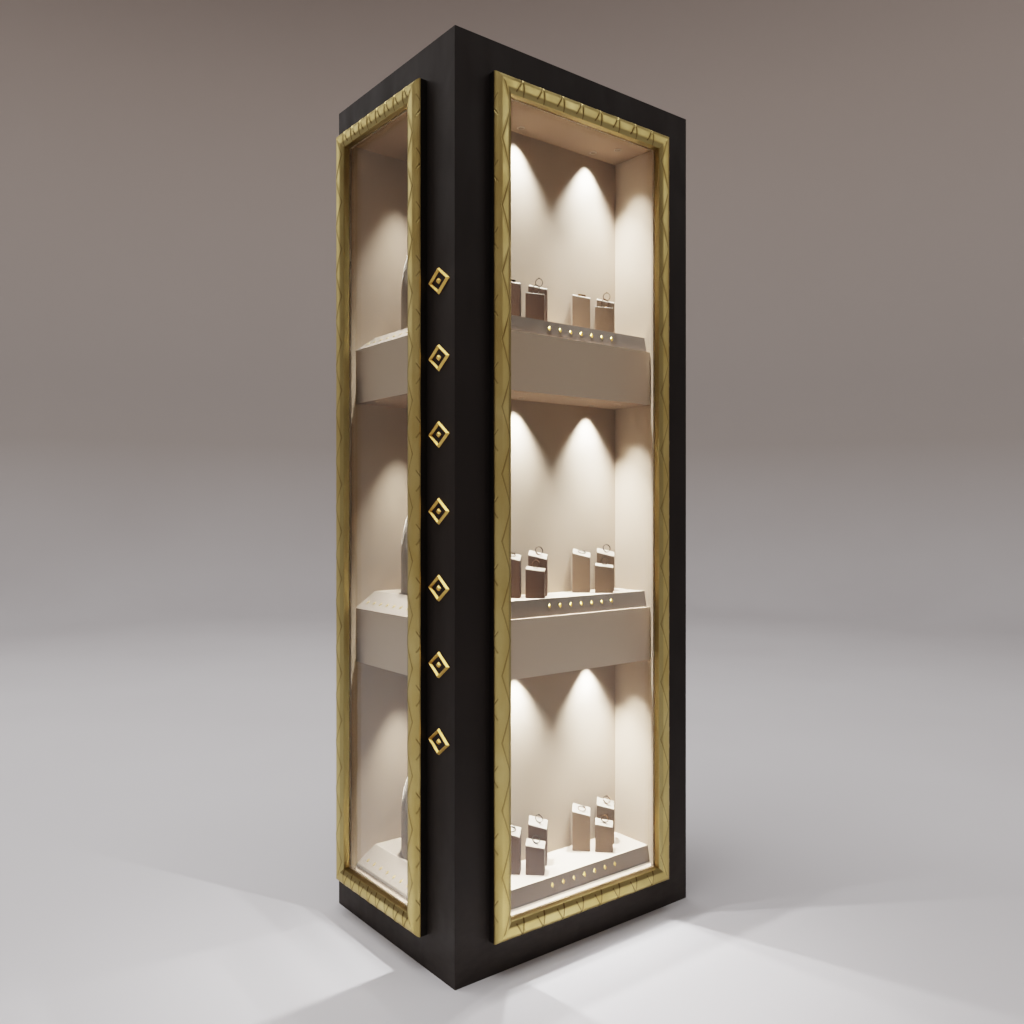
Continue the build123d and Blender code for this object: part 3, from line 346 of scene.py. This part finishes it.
def window_glass(name):
    """Clear safety glass: it mirrors at a slant, carries faint smears and holds back stray light."""
    finish = Finish(name, {})
    tree = finish.tree
    tree.nodes.remove(finish.shader)
    smears = finish.noise(0.08, 6.0, (1, 1, 3), 1.2)
    roughness = finish.spread(smears, 0.015, 0.07)
    clear = finish.node("BsdfTransparent", {"Color": CLEAR_TINT})
    mirror = finish.node("BsdfGlossy", {"Color": (1, 1, 1, 1), "Roughness": roughness})
    slant = finish.node("LayerWeight", {"Blend": 0.5}).outputs["Facing"]
    shine = finish.spread(finish.maths("POWER", slant, 5.0), 0.04, 1.0, 0.0, 1.0)
    pane = finish.node("MixShader", {0: shine, 1: clear.outputs[0], 2: mirror.outputs[0]})
    shade = finish.node("BsdfTransparent", {"Color": SHADOW_TINT})
    path = finish.node("LightPath", {}).outputs
    bounced = finish.node("MixShader", {0: path["Is Diffuse Ray"], 1: pane.outputs[0], 2: clear.outputs[0]})
    mixed = finish.node("MixShader", {0: path["Is Shadow Ray"], 1: bounced.outputs[0], 2: shade.outputs[0]})
    finish.feed(tree.nodes["Material Output"].inputs["Surface"], mixed.outputs[0])
    return finish.material


def lamp_face(name, strength):
    """The frosted front of a lit spot: a fine prism texture, bright in the middle."""
    finish = Finish(name, {"Emission Strength": strength, "Roughness": 0.3})
    prisms = finish.cells(0.0016)
    glow = finish.blend(finish.spread(prisms, 0.0, 1.0, 0.1, 0.7), srgb(132, 112, 92), srgb(118, 98, 78))
    finish.feed(finish.shader.inputs["Emission Color"], glow)
    return finish.surface(colour=glow, normal=finish.bump(prisms, 0.0003, 0.5))


materials = {
    "case_lacquer": lacquer("case_lacquer", (34, 29, 26), (42, 36, 33), 0.5),
    "door_lacquer": lacquer("door_lacquer", (24, 20, 16), (31, 26, 21), 0.42),
    "gold_trim": gold_leaf("gold_trim", (214, 194, 134), (192, 168, 106), (84, 62, 30)),
    "stud_gold": gold_leaf("stud_gold", (232, 196, 116), (205, 164, 88)),
    "clear_glass": window_glass("clear_glass"),
    "gasket": rubber("gasket", (244, 226, 200), (226, 204, 174)),
    # Painted shade: the linings' undersides are darker.
    "wall_lining": suede("wall_lining", (157, 137, 118), (146, 126, 106), 0.0011, under=(126, 101, 80)),
    # Painted light: the shelf fronts are paler; undersides darker as painted shade; painted shadow round
    # the bottom plinth's foot.
    "shelf_lining": suede(
        "shelf_lining", (154, 134, 115), (143, 123, 104), 0.0011,
        under=(126, 100, 79), front=(220, 196, 174), foot=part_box("bottom_plinth")[0],
    ),
    # Painted shade: the plinths' fronts and slopes are darker than their tops, with a painted shadow round
    # the bottom foot.
    "plinth_lining": suede(
        "plinth_lining", (160, 143, 126), (149, 132, 115), 0.0009,
        front=(88, 75, 65), slope_shade=(120, 105, 91), foot=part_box("bottom_plinth")[0],
    ),
    "raw_board": fibre_board("raw_board", (181, 148, 108), (158, 124, 86)),
    "stand_leather": leather("stand_leather", (108, 86, 68), (92, 72, 56), 0.0011, (58, 38, 26)),
    "stand_top": leather("stand_top", (142, 130, 116), (128, 116, 102), 0.0009),
    "bust_fabric": velvet("bust_fabric", (150, 134, 117), (120, 104, 89)),
    "ring_metal": metal("ring_metal", (52, 48, 44), (38, 34, 31), 0.12, plating=(98, 64, 34)),
    "spot_metal": metal("spot_metal", (176, 158, 138), (160, 142, 122), 0.5, metallic=0.2),
    "spot_lens": lamp_face("spot_lens", 0.06),
    "hinge_steel": metal("hinge_steel", (168, 166, 162), (140, 137, 131), 0.34, (1, 1, 12)),
    "pin_steel": metal("pin_steel", (190, 188, 184), (160, 157, 152), 0.22, (1, 1, 12)),
    "lock_chrome": metal("lock_chrome", (214, 214, 214), (182, 182, 182), 0.12),
    "black_plastic": plastic("black_plastic", (30, 30, 31), 0.5),
    "white_plastic": plastic("white_plastic", (226, 225, 220), 0.42),
}
slot_of = {part["node"]: part["material_slot"] for part in frame["record"]["subparts"]}


# ==== Mesh tools ==============================================================================
HARD_EDGE = math.radians(38)    # sharper edges than this are not shaded smooth
BEVELLED_EDGE = math.radians(35)


def new_piece(name, mesh, body, slot, stands_for=()):
    """A finished mesh as a piece of the part: its material, its body and the CAD nodes it replaces."""
    piece = bpy.data.objects.new(name, mesh)
    bpy.context.collection.objects.link(piece)
    mesh.materials.append(materials[slot])
    mesh.shade_smooth()
    mesh.set_sharp_from_angle(angle=HARD_EDGE)
    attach(piece, body)
    if stands_for:
        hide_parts(*stands_for)
    return piece


def mesh_from(name, points, faces):
    """A mesh with outward normals from points and faces."""
    mesh = bpy.data.meshes.new(name)
    mesh.from_pydata([tuple(point) for point in points], [], faces)
    work = bmesh.new()
    work.from_mesh(mesh)
    bmesh.ops.recalc_face_normals(work, faces=work.faces)
    work.to_mesh(mesh)
    work.free()
    return mesh


def tube_faces(rows, count):
    """Faces of a tube of rows with count points each, closed at both ends."""
    faces = []
    for row in range(rows - 1):
        low = row * count
        for column in range(count):
            beside = (column + 1) % count
            faces.append((low + column, low + beside, low + count + beside, low + count + column))
    faces.append(tuple(range(count)))
    faces.append(tuple(range((rows - 1) * count, rows * count)))
    return faces


def store(mesh, name, values):
    """Keeps one value for each of a mesh's points, for its material to read."""
    attribute = mesh.attributes.new(name, "FLOAT", "POINT")
    attribute.data.foreach_set("value", np.asarray(values, np.float32).ravel())


def soften(node, width, segments=2):
    """Rounds a CAD node's hard edges, for looks only."""
    thing = nodes[node]
    weld = thing.modifiers.new("weld", "WELD")
    weld.merge_threshold = 0.01 * MM
    bevel = thing.modifiers.new("bevel", "BEVEL")
    bevel.width = width
    bevel.segments = segments
    bevel.limit_method = "ANGLE"
    bevel.angle_limit = BEVELLED_EDGE
    thing.modifiers.new("normals", "WEIGHTED_NORMAL")


def arc(start, middle, finish, count):
    """Points on the circle through three points, from start to finish, without the last."""
    a, b, c = (np.array(point, float) for point in (start, middle, finish))
    rows = 2 * np.array([b - a, c - a])
    centre = np.linalg.solve(rows, [b @ b - a @ a, c @ c - a @ a])
    angles = [math.atan2(*(point - centre)[::-1]) for point in (a, b, c)]
    sweep = (angles[2] - angles[0] + math.pi) % (2 * math.pi) - math.pi
    radius = np.linalg.norm(a - centre)
    turned = angles[0] + sweep * np.arange(count) / count
    return [tuple(centre + radius * np.array([math.cos(t), math.sin(t)])) for t in turned]


# ==== Carved mouldings ========================================================================
# The moulding's section, in millimetres: across from the door's edge, and out from the case's face.
CORE_FACE = 16
TRIM_WIDTH = 40
LIP = 9                         # how near the case the lip beside the pane comes
LIP_WIDTH = 4

CARVED_FROM = 1 * MM            # the carving's reach along the section's outline
CARVED_TO = 50 * MM
GROOVE = 0.9 * MM               # depth of a carved line
GROOVE_WIDTH = 1.25 * MM
BURR = 0.6 * MM                 # height of the raised edges beside it
BURR_ASIDE = 2.5 * MM
BURR_WIDTH = 1.1 * MM
UNEVEN = 0.06 * MM              # how far the hand-worked face strays, in two waves
LONG_WAVE = 31 * MM
SHORT_WAVE = 17.3 * MM
SKEW = 5.263 * MM               # across the section, per radian of the long wave
STAIN_WIDTH = 1.35 * MM
FLANK_FROM = 28.5 * MM          # where the face falls away to the pane
FLANK_BLEND = 2.5 * MM
STEP_FROM = 47 * MM             # where the step beside the pane starts along the outline
STEP_BLEND = 6 * MM
# Painted shade in the step beside the pane, as a share of the patina colour:
PLAIN_STEP_SHADE_SHARE = 0.45
STEP_SHADE_SHARE = {"side_trim_far": 0.1}
FLANK_SHADE_SHARE = {"front_trim_bottom": 0.4, "side_trim_bottom": 0.4}   # painted shade on the bottom rails' upward flanks

RAIL = {"step": 1.1 * MM, "stain": 0.85}    # spacing of the cuts along a length, and how dark its lines are
STILE = {"step": 2.0 * MM, "stain": 0.6}
RAIL_MARKS = 8
UP = np.array((0.0, 0.0, 1.0))


def moulding_section():
    """The moulding's closed section, in metres."""
    path = [(0, CORE_FACE)]
    path += arc((0, 18), (5.2, 26.3), (13, 30.2), 17)
    path += arc((13, 30.2), (20, 30.4), (27.5, 30.1), 13)
    path += arc((27.5, 30.1), (33, 28.5), (37.6, 26.2), 9)
    path += arc((37.6, 26.2), (39.3, 25.2), (TRIM_WIDTH, 23.5), 4)
    path += [(TRIM_WIDTH, out) for out in (23.5, 19, 14, LIP)]
    path += [(TRIM_WIDTH - LIP_WIDTH, LIP), (TRIM_WIDTH - LIP_WIDTH, CORE_FACE)]
    return np.array(path) * MM


def section_normals(section):
    """Outward normals at the points of a closed section."""
    ahead = np.roll(section, -1, 0) - np.roll(section, 1, 0)
    normals = np.stack([-ahead[:, 1], ahead[:, 0]], 1)
    return normals / np.linalg.norm(normals, axis=1)[:, None]


def rail_lines(length, pitch):
    """Carved marks on a level length: a cross near the outer edge with two legs that splay inwards."""
    lines = []
    for number in range(RAIL_MARKS):
        s = length / 2 + (number - (RAIL_MARKS - 1) / 2) * pitch
        lines.append([(s + 4 * MM, 0), (s, 12 * MM), (s - 17 * MM, 41 * MM)])
        lines.append([(s - 4 * MM, 0), (s, 12 * MM), (s + 4 * MM, 48 * MM)])
    return lines


def stile_lines(length, count):
    """Carved lines on an upright: a long zigzag over the crest, and short hooks on its outer flank."""
    pitch = length / count
    zigzag = []
    for number in range(2 * count + 1):
        zigzag.append((number * pitch / 2, (19 if number % 2 == 0 else 44) * MM))
    lines = [zigzag]
    for number in range(count):
        s = (number + 0.5) * pitch
        lines.append([(s - 22 * MM, 10 * MM), (s - 9 * MM, 0)])
        lines.append([(s + 22 * MM, 10 * MM), (s + 9 * MM, 0)])
    return lines


def distance_to(lines, s, u):
    """Distance from each point (s, u) to the nearest of the lines."""
    nearest = np.full(s.shape, 1.0)
    for line in lines:
        for (s0, u0), (s1, u1) in zip(line, line[1:]):
            ds, du = s1 - s0, u1 - u0
            t = np.clip(((s - s0) * ds + (u - u0) * du) / (ds * ds + du * du), 0, 1)
            nearest = np.minimum(nearest, np.hypot(s - s0 - t * ds, u - u0 - t * du))
    return nearest


def ridge(distance, width):
    """A smooth bump from 1 at no distance down to nothing."""
    return np.exp(-((distance / width) ** 2))


def ramp(value, start, blend):
    """0 below start, rising to 1 over the blend."""
    return np.clip((value - start) / blend, 0, 1)


def moulding(node, body, corner, along, inward, outward, length, lines, step, stain):
    """One mitred length of carved moulding, which stands for its plain CAD node."""
    section = moulding_section()
    normals = section_normals(section)
    run = np.concatenate([[0], np.cumsum(np.linalg.norm(np.diff(section, axis=0), axis=1))])
    stations = np.linspace(0, 1, int(length / step) + 1)[:, None]
    across = section[:, 0][None]
    s = across + stations * (length - 2 * across)
    u = np.broadcast_to(run[None], s.shape)

    distance = distance_to(lines, s, u)
    carved = (u > CARVED_FROM) & (u < CARVED_TO)
    strokes = BURR * ridge(distance - BURR_ASIDE, BURR_WIDTH) - GROOVE * ridge(distance, GROOVE_WIDTH)
    worked = UNEVEN * (np.sin(s / LONG_WAVE + u / SKEW) + np.sin(s / SHORT_WAVE + 2.1))
    lift = (strokes + worked) * carved
    w = across + normals[:, 0][None] * lift
    h = section[:, 1][None] + normals[:, 1][None] * lift
    points = corner + s[..., None] * along + w[..., None] * inward + h[..., None] * outward
    mesh = mesh_from(node + "_carved", points.reshape(-1, 3), tube_faces(len(stations), len(section)))

    # Painted shade on the gilding: the flank that falls away to the pane, the step beside it, the bottom
    # rails' upward flanks.
    fallen = ramp(across, FLANK_FROM, FLANK_BLEND) + 0 * s
    step_shade = ramp(run, STEP_FROM, STEP_BLEND) * STEP_SHADE_SHARE.get(node, PLAIN_STEP_SHADE_SHARE)
    dust_and_shade = fallen * FLANK_SHADE_SHARE.get(node, 0.0)
    patina_and_shade = np.clip(stain * ridge(distance, STAIN_WIDTH) * carved + step_shade[None] + dust_and_shade, 0, 1)
    store(mesh, "patina_and_shade", patina_and_shade)
    store(mesh, "inward", fallen)
    return new_piece(node + "_carved", mesh, body, "gold_trim", [node])


def door_mouldings(side, face, level, outward, uprights, zigzags, mark_pitch):
    """The four lengths round a door: level runs from its first upright to the other one."""
    level, outward = np.array(level, float), np.array(outward, float)
    low, high = (np.array(corner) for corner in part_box(f"{side}_door_core"))
    foot = np.where(outward == 0, low, face)
    width, height = (high - low) @ level, (high - low) @ UP
    stile = stile_lines(height, zigzags)
    rail = rail_lines(width, mark_pitch)
    for name, corner, along, inward, length, lines, cuts in (
        (uprights[0], foot, UP, level, height, stile, STILE),
        (uprights[1], foot + width * level, UP, -level, height, stile, STILE),
        ("top", foot + height * UP, level, -UP, width, rail, RAIL),
        ("bottom", foot, level, UP, width, rail, RAIL),
    ):
        node, body = f"{side}_trim_{name}", f"{side}_door"
        moulding(node, body, corner, along, inward, outward, length, lines, **cuts)


front_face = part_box("front_panel")[0].y
side_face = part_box("left_panel")[0].x
door_mouldings("front", front_face, (1, 0, 0), (0, -1, 0), ("left", "right"), 13, 57.7 * MM)
door_mouldings("side", side_face, (0, 1, 0), (-1, 0, 0), ("near", "far"), 16, 40 * MM)


# ==== Necklace busts ==========================================================================
BUST_OUTLINE = [                # (share of the height, share of the half width)
    (0.0, 1.0), (0.1, 0.995), (0.25, 0.98), (0.38, 0.955), (0.52, 0.89), (0.62, 0.81),
    (0.7, 0.71), (0.77, 0.58), (0.83, 0.48), (0.89, 0.42), (0.95, 0.395), (1.0, 0.4),
]
BUST_SIDES = 72
BUST_LEVELS = 64
BUST_REACH = 0.95               # share of the CAD form's half width, without the chest
CHEST_SWELL = 0.05
CHEST_LEVEL = 0.42
CHEST_SPREAD = 0.22
CLEFT = 0.55                    # how much of the swell is missing down the middle
CLEFT_SPREAD = 0.18
SMOOTHING = 5                   # levels averaged into one


def bust(node):
    """A necklace form in velvet: a full chest towards the side window, sloping shoulders and a neck."""
    low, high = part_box(node)
    middle = (low + high) / 2
    half = (high - low) / 2
    heights = np.linspace(0, 1, BUST_LEVELS)
    outline = np.array(BUST_OUTLINE)
    scale = np.interp(heights, outline[:, 0], outline[:, 1])
    kernel = np.ones(SMOOTHING) / SMOOTHING
    scale = np.convolve(np.pad(scale, SMOOTHING // 2, mode="edge"), kernel, mode="valid")
    points = []
    for height, size in zip(heights, scale):
        chest = CHEST_SWELL * ridge(height - CHEST_LEVEL, CHEST_SPREAD)
        for angle in np.linspace(0, 2 * math.pi, BUST_SIDES, endpoint=False):
            x, y = math.cos(angle), math.sin(angle)
            swell = chest * max(-x, 0) * (1 - CLEFT * ridge(y, CLEFT_SPREAD))
            reach = size * (BUST_REACH + swell)
            level = low.z + height * 2 * half.z
            points.append((middle.x + half.x * x * reach, middle.y + half.y * y * reach, level))
    mesh = mesh_from(node + "_velvet", points, tube_faces(BUST_LEVELS, BUST_SIDES))
    piece = new_piece(node + "_velvet", mesh, "case", "bust_fabric", [node])
    rim = piece.modifiers.new("rim", "BEVEL")
    rim.width = 3 * MM
    rim.segments = 4
    rim.limit_method = "ANGLE"
    rim.angle_limit = math.radians(60)
    return piece


for tier in ("bottom", "middle", "top"):
    bust(tier + "_necklace_bust")


# ==== Finishes on the CAD nodes ===============================================================
for name, node in nodes.items():
    if not node.hide_render:
        node.data.materials.clear()
        node.data.materials.append(materials[slot_of[name]])

for name in ("front_door_core", "side_door_core"):
    soften(name, 0.8 * MM)
for name in ("ring_stands", "ring_stand_tops", "side_studs"):
    soften(name, 0.7 * MM, 3)


# ==== Jewellery ===============================================================================
BAND_SIDES = 60
BAND_ROUND = 10
BAND_REACH = 1.05 * MM          # half the band's thickness
BAND_SQUARE = 0.7               # 1 is a round section, less is squarer
JEWEL = 2.3 * MM                # radius of a centre stone
JEWEL_PROFILE = ((0.34, 0.56), (0.0, 1.0), (-0.12, 0.96), (-0.62, 0.12))    # (rise, reach) over its radius
SMALL_JEWEL = 0.62 * MM
PAVED_PITCH = 0.17              # radians between paved stones
CLAWS = 6
CLAW_RADIUS = 0.22 * MM
CLAW_SIDES = 5

# Half is a band's half width in mm, and crown is what it gains at its stone. The stone is a share of JEWEL.
# The paved stones on each shoulder start at an angle, and their rows are in mm off the middle.
SOLITAIRE = {
    "half": 0.9, "crown": 0.5, "stone": 1.0, "halo": False, "paved": 4, "start": 0.32, "rows": (0.0,)
}
PAVED_BAND = {
    "half": 2.1, "crown": 0.4, "stone": 0.0, "halo": False, "paved": 11, "start": 0.0, "rows": (-1.15, 1.15)
}
CLUSTER = {
    "half": 1.0, "crown": 1.2, "stone": 0.72, "halo": True, "paved": 5, "start": 0.32, "rows": (0.0,)
}
RING_KINDS = (SOLITAIRE, PAVED_BAND, CLUSTER)
PLATING = ((0.0, 0.9), (0.7, 0.1), (0.0, 1.0))      # of each tier's left and right rings, bottom tier first


def islands(node):
    """The separate solids of a CAD node, each as an array of its points."""
    work = bmesh.new()
    work.from_mesh(nodes[node].data)
    bmesh.ops.remove_doubles(work, verts=work.verts, dist=0.001 * MM)
    work.verts.ensure_lookup_table()
    found = []
    seen = set()
    for first in work.verts:
        if first.index in seen:
            continue
        seen.add(first.index)
        queue = [first]
        for vertex in queue:
            for edge in vertex.link_edges:
                other = edge.other_vert(vertex)
                if other.index not in seen:
                    seen.add(other.index)
                    queue.append(other)
        found.append(np.array([vertex.co for vertex in queue]))
    work.free()
    return found


def circle_through(points):
    """The centre of the circle that best fits flat points."""
    terms = np.column_stack([2 * points, np.ones(len(points))])
    return np.linalg.lstsq(terms, (points ** 2).sum(1), rcond=None)[0][:2]


def ring_frame(points):
    """A ring's centre, radius and stone's reach, and its directions: to the stone, across and through."""
    middle = points.mean(0)
    basis = np.linalg.svd(points - middle, full_matrices=False)[2]
    flat = (points - middle) @ basis[:2].T
    keep = np.ones(len(flat), bool)
    for _ in range(4):
        centre = circle_through(flat[keep])
        reach = np.linalg.norm(flat - centre, axis=1)
        keep = reach < np.median(reach) + 1.6 * MM      # leaves the stone out
    out = flat[reach.argmax()] - centre
    out = out / np.linalg.norm(out) @ basis[:2]
    hole = basis[2]
    directions = np.array([out, np.cross(hole, out), hole])
    return middle + centre @ basis[:2], np.median(reach), reach.max(), directions


def jewel(radius, centre, directions, sides):
    """A faceted stone: a flat table, a girdle and a pointed back, facing along the first direction."""
    points = []
    for turn, (rise, share) in enumerate(JEWEL_PROFILE):
        for number in range(sides):
            angle = 2 * math.pi * (number + 0.5 * (turn % 2)) / sides
            local = (rise, share * math.cos(angle), share * math.sin(angle))
            points.append(centre + radius * np.array(local) @ directions)
    return points, tube_faces(len(JEWEL_PROFILE), sides)


def claw(foot, tip):
    """A tapered prong between two points."""
    along = (tip - foot) / np.linalg.norm(tip - foot)
    first = np.cross(along, (0.3, 0.5, 0.81))
    first /= np.linalg.norm(first)
    second = np.cross(along, first)
    points = []
    for place, share in ((foot, 1.3), (tip, 0.8)):
        for number in range(CLAW_SIDES):
            angle = 2 * math.pi * number / CLAW_SIDES
            spoke = math.cos(angle) * first + math.sin(angle) * second
            points.append(place + share * CLAW_RADIUS * spoke)
    return points, tube_faces(2, CLAW_SIDES)


def band(centre, radius, directions, kind):
    """A ring's band, wider towards its stone."""
    out, across, hole = directions
    points, faces = [], []
    for step in range(BAND_SIDES):
        angle = 2 * math.pi * step / BAND_SIDES
        crown = (0.5 + 0.5 * math.cos(angle)) ** 3
        half = (kind["half"] + kind["crown"] * crown) * MM
        spoke = math.cos(angle) * out + math.sin(angle) * across
        here, after = step * BAND_ROUND, (step + 1) % BAND_SIDES * BAND_ROUND
        for turn in range(BAND_ROUND):
            sweep = 2 * math.pi * turn / BAND_ROUND
            lift = BAND_REACH * 0.8 * math.cos(sweep)
            aside = half * math.copysign(abs(math.sin(sweep)) ** BAND_SQUARE, math.sin(sweep))
            points.append(centre + (radius + lift) * spoke + aside * hole)
            beside = (turn + 1) % BAND_ROUND
            faces.append((here + turn, here + beside, after + beside, after + turn))
    return points, faces


def setting(centre, radius, reach, directions, kind):
    """A centre stone in its claws, with a halo of small stones for a cluster."""
    out, across, hole = directions
    size = kind["stone"] * JEWEL
    top = centre + (reach - 0.34 * size) * out
    parts = [jewel(size, top, directions, 8)]
    for number in range(CLAWS):
        angle = 2 * math.pi * (number + 0.5) / CLAWS
        aside = math.cos(angle) * across + math.sin(angle) * hole
        foot = centre + (radius + 0.4 * MM) * out + 0.35 * size * aside
        tip = top + 0.98 * size * aside + 0.1 * size * out
        parts.append(claw(foot, tip))
        if kind["halo"]:
            place = top + 1.45 * size * aside - 0.15 * size * out
            parts.append(jewel(SMALL_JEWEL * 1.2, place, directions, 6))
    return parts


def paving(centre, radius, directions, kind):
    """Small stones along both shoulders of the band."""
    out, across, hole = directions
    parts = []
    for side in (-1, 1):
        for number in range(kind["paved"]):
            angle = side * (kind["start"] + PAVED_PITCH * number)
            spoke = math.cos(angle) * out + math.sin(angle) * across
            turned = np.array([spoke, np.cross(hole, spoke), hole])
            for row in kind["rows"]:
                place = centre + (radius + 0.72 * BAND_REACH) * spoke + row * MM * hole
                parts.append(jewel(SMALL_JEWEL, place, turned, 6))
    return parts


def finger_ring(points, kind):
    """The parts of a ring that takes the place of a plain one."""
    centre, radius, reach, directions = ring_frame(points)
    parts = [band(centre, radius, directions, kind)]
    if kind["stone"]:
        parts += setting(centre, radius, reach, directions, kind)
    return parts + paving(centre, radius, directions, kind)


def jewellery():
    """Every ring on the stands, in silver, rose or yellow gold."""
    vertices, faces, tones = [], [], []
    low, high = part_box("display_rings")
    for number, points in enumerate(islands("display_rings")):
        middle = points.mean(0)
        tier = round(2 * (middle[2] - low.z) / (high.z - low.z))
        tone = PLATING[tier][int(middle[0] > 0)]
        for part_points, part_faces in finger_ring(points, RING_KINDS[(number + tier) % len(RING_KINDS)]):
            start = len(vertices)
            vertices += list(part_points)
            tones += [tone] * len(part_points)
            faces += [tuple(start + index for index in face) for face in part_faces]
    mesh = mesh_from("jewellery", np.array(vertices), faces)
    store(mesh, "tone", tones)
    new_piece("display_rings_fine", mesh, "case", "ring_metal", ["display_rings"])


jewellery()


# ==== Lamps in the spots ======================================================================
CORE_POWER = 27.0
CORE_ANGLE = math.radians(82)
CORE_COLOUR = srgb(244, 250, 255)[:3]
BEAM_POWER = 95.0
BEAM_ANGLE = math.radians(79)
BEAM_COLOUR = srgb(255, 253, 252)[:3]
LAMP_RADIUS = 6 * MM
LAMP_DROP = 3 * MM              # below the lens
BUST_SHARE = 0.52               # the lamp over a bust is dimmed and narrower
BUST_SPREAD = 0.72
WALL_SHARE = 0.5                # the one beside the right wall is too
WALL_SPREAD = 0.9
WALL_LAMPS_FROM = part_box("ring_stands")[1].x - 40 * MM


def spot(name, place, power, colour, angle, falloff_kind):
    """A soft-edged lamp that shines straight down."""
    lamp = bpy.data.lights.new(name, "SPOT")
    lamp.energy = power
    lamp.color = colour
    lamp.spot_size = angle
    lamp.spot_blend = 1.0
    lamp.shadow_soft_size = LAMP_RADIUS
    lamp.use_nodes = True
    beam = lamp.node_tree.nodes
    falloff = beam.new("ShaderNodeLightFalloff")
    falloff.inputs["Strength"].default_value = 1.0
    lamp.node_tree.links.new(falloff.outputs[falloff_kind], beam["Emission"].inputs["Strength"])
    holder = bpy.data.objects.new(name, lamp)
    holder.location = place
    bpy.context.collection.objects.link(holder)


for number, points in enumerate(islands("spot_lenses")):
    low, high = points.min(0), points.max(0)
    place = ((low[0] + high[0]) / 2, (low[1] + high[1]) / 2, low[2] - LAMP_DROP)
    share, spread = 1.0, 1.0
    if place[1] > 0:
        share, spread = BUST_SHARE, BUST_SPREAD
    if place[0] > WALL_LAMPS_FROM:
        share, spread = WALL_SHARE, WALL_SPREAD
    spot(f"spot_core_{number}", place, share * CORE_POWER, CORE_COLOUR, spread * CORE_ANGLE, "Quadratic")
    spot(f"spot_beam_{number}", place, share * BEAM_POWER, BEAM_COLOUR, spread * BEAM_ANGLE, "Linear")


# ==== Stage and studio light ==================================================================
STAGE_FLAT = 6.5
STAGE_BEND = 2.5
STAGE_HEIGHT = 9.0
STAGE_SIDES = 96
FLOOR_FADE = (0.0, 1.8)         # heights over which the floor's colour turns into the backdrop's
WALL_FADE = (2.5, 6.0)          # and over which the backdrop grows paler
WORLD_STRENGTH = 0.3


def stage_finish():
    """Pale seamless floor that darkens as it turns up into the backdrop."""
    finish = Finish("stage", {"Specular IOR Level": 0.25})
    low_part = finish.spread(finish.axis("Z"), 0.0, 1.0, *FLOOR_FADE)
    high_part = finish.spread(finish.axis("Z"), 0.0, 1.0, *WALL_FADE)
    cloud = finish.noise(1.6, 3.0)
    floor = finish.blend(finish.spread(cloud, 0.0, 1.0), srgb(214, 212, 214), srgb(206, 203, 205))
    backdrop = finish.blend(high_part, srgb(174, 165, 160), srgb(186, 173, 165))
    return finish.surface(
        colour=finish.blend(low_part, floor, backdrop),
        roughness=finish.spread(cloud, 0.6, 0.7),
        normal=finish.bump(finish.noise(0.004, 3.0), 0.0001, 0.3),
    )


def stage():
    """A bowl-shaped cove: flat floor, a long bend and an upright wall all the way round."""
    path = [(0.0, 0.0), (STAGE_FLAT * 0.5, 0.0)]
    corner = math.sqrt(0.5) * STAGE_BEND
    reach = STAGE_FLAT + STAGE_BEND
    path += arc((STAGE_FLAT, 0), (STAGE_FLAT + corner, STAGE_BEND - corner), (reach, STAGE_BEND), 16)
    path += [(reach, STAGE_BEND), (reach, STAGE_HEIGHT)]
    work = bmesh.new()
    rings = []
    for radius, height in path:
        turns = [2 * math.pi * k / STAGE_SIDES for k in range(STAGE_SIDES if radius else 1)]
        rings.append([work.verts.new((radius * math.cos(t), radius * math.sin(t), height)) for t in turns])
    for k in range(STAGE_SIDES):
        work.faces.new((rings[0][0], rings[1][k], rings[1][(k + 1) % STAGE_SIDES]))
    for inner, outer in zip(rings[1:], rings[2:]):
        for k in range(STAGE_SIDES):
            beside = (k + 1) % STAGE_SIDES
            work.faces.new((inner[k], outer[k], outer[beside], inner[beside]))
    mesh = bpy.data.meshes.new("stage")
    work.to_mesh(mesh)
    work.free()
    mesh.shade_smooth()
    mesh.materials.append(stage_finish())
    floor = bpy.data.objects.new("stage", mesh)
    bpy.context.collection.objects.link(floor)


def softbox(name, place, aim, size, power, flagged=None):
    """A square area light that faces a point, flagged off the pieces of one collection if it is given."""
    light = bpy.data.lights.new(name, "AREA")
    light.energy = power
    light.size = size
    holder = bpy.data.objects.new(name, light)
    if flagged is not None:
        holder.light_linking.receiver_collection = flagged
    holder.location = place
    holder.rotation_mode = "QUATERNION"
    holder.rotation_quaternion = (Vector(aim) - Vector(place)).to_track_quat("-Z", "Y")
    bpy.context.collection.objects.link(holder)


stage()
softbox("overhead", (-1.2, 0.6, 7.6), (0, 0.3, 0), 5.5, 510)
panes = bpy.data.collections.new("panes")
for name, node in nodes.items():
    if slot_of[name] == "clear_glass":
        panes.objects.link(node)
for pane in panes.collection_objects:
    pane.light_linking.link_state = "EXCLUDE"
softbox("right_front", (3.2, -4.3, 4.3), (0, 0, 1.9), 2.6, 26, panes)
softbox("left_back", (-2.8, 4.3, 4.0), (0, 0, 1.9), 2.6, 24, panes)

world = bpy.data.worlds.new("world")
world.use_nodes = True
background = world.node_tree.nodes["Background"]
background.inputs["Color"].default_value = srgb(196, 190, 188)
background.inputs["Strength"].default_value = WORLD_STRENGTH
bpy.context.scene.world = world
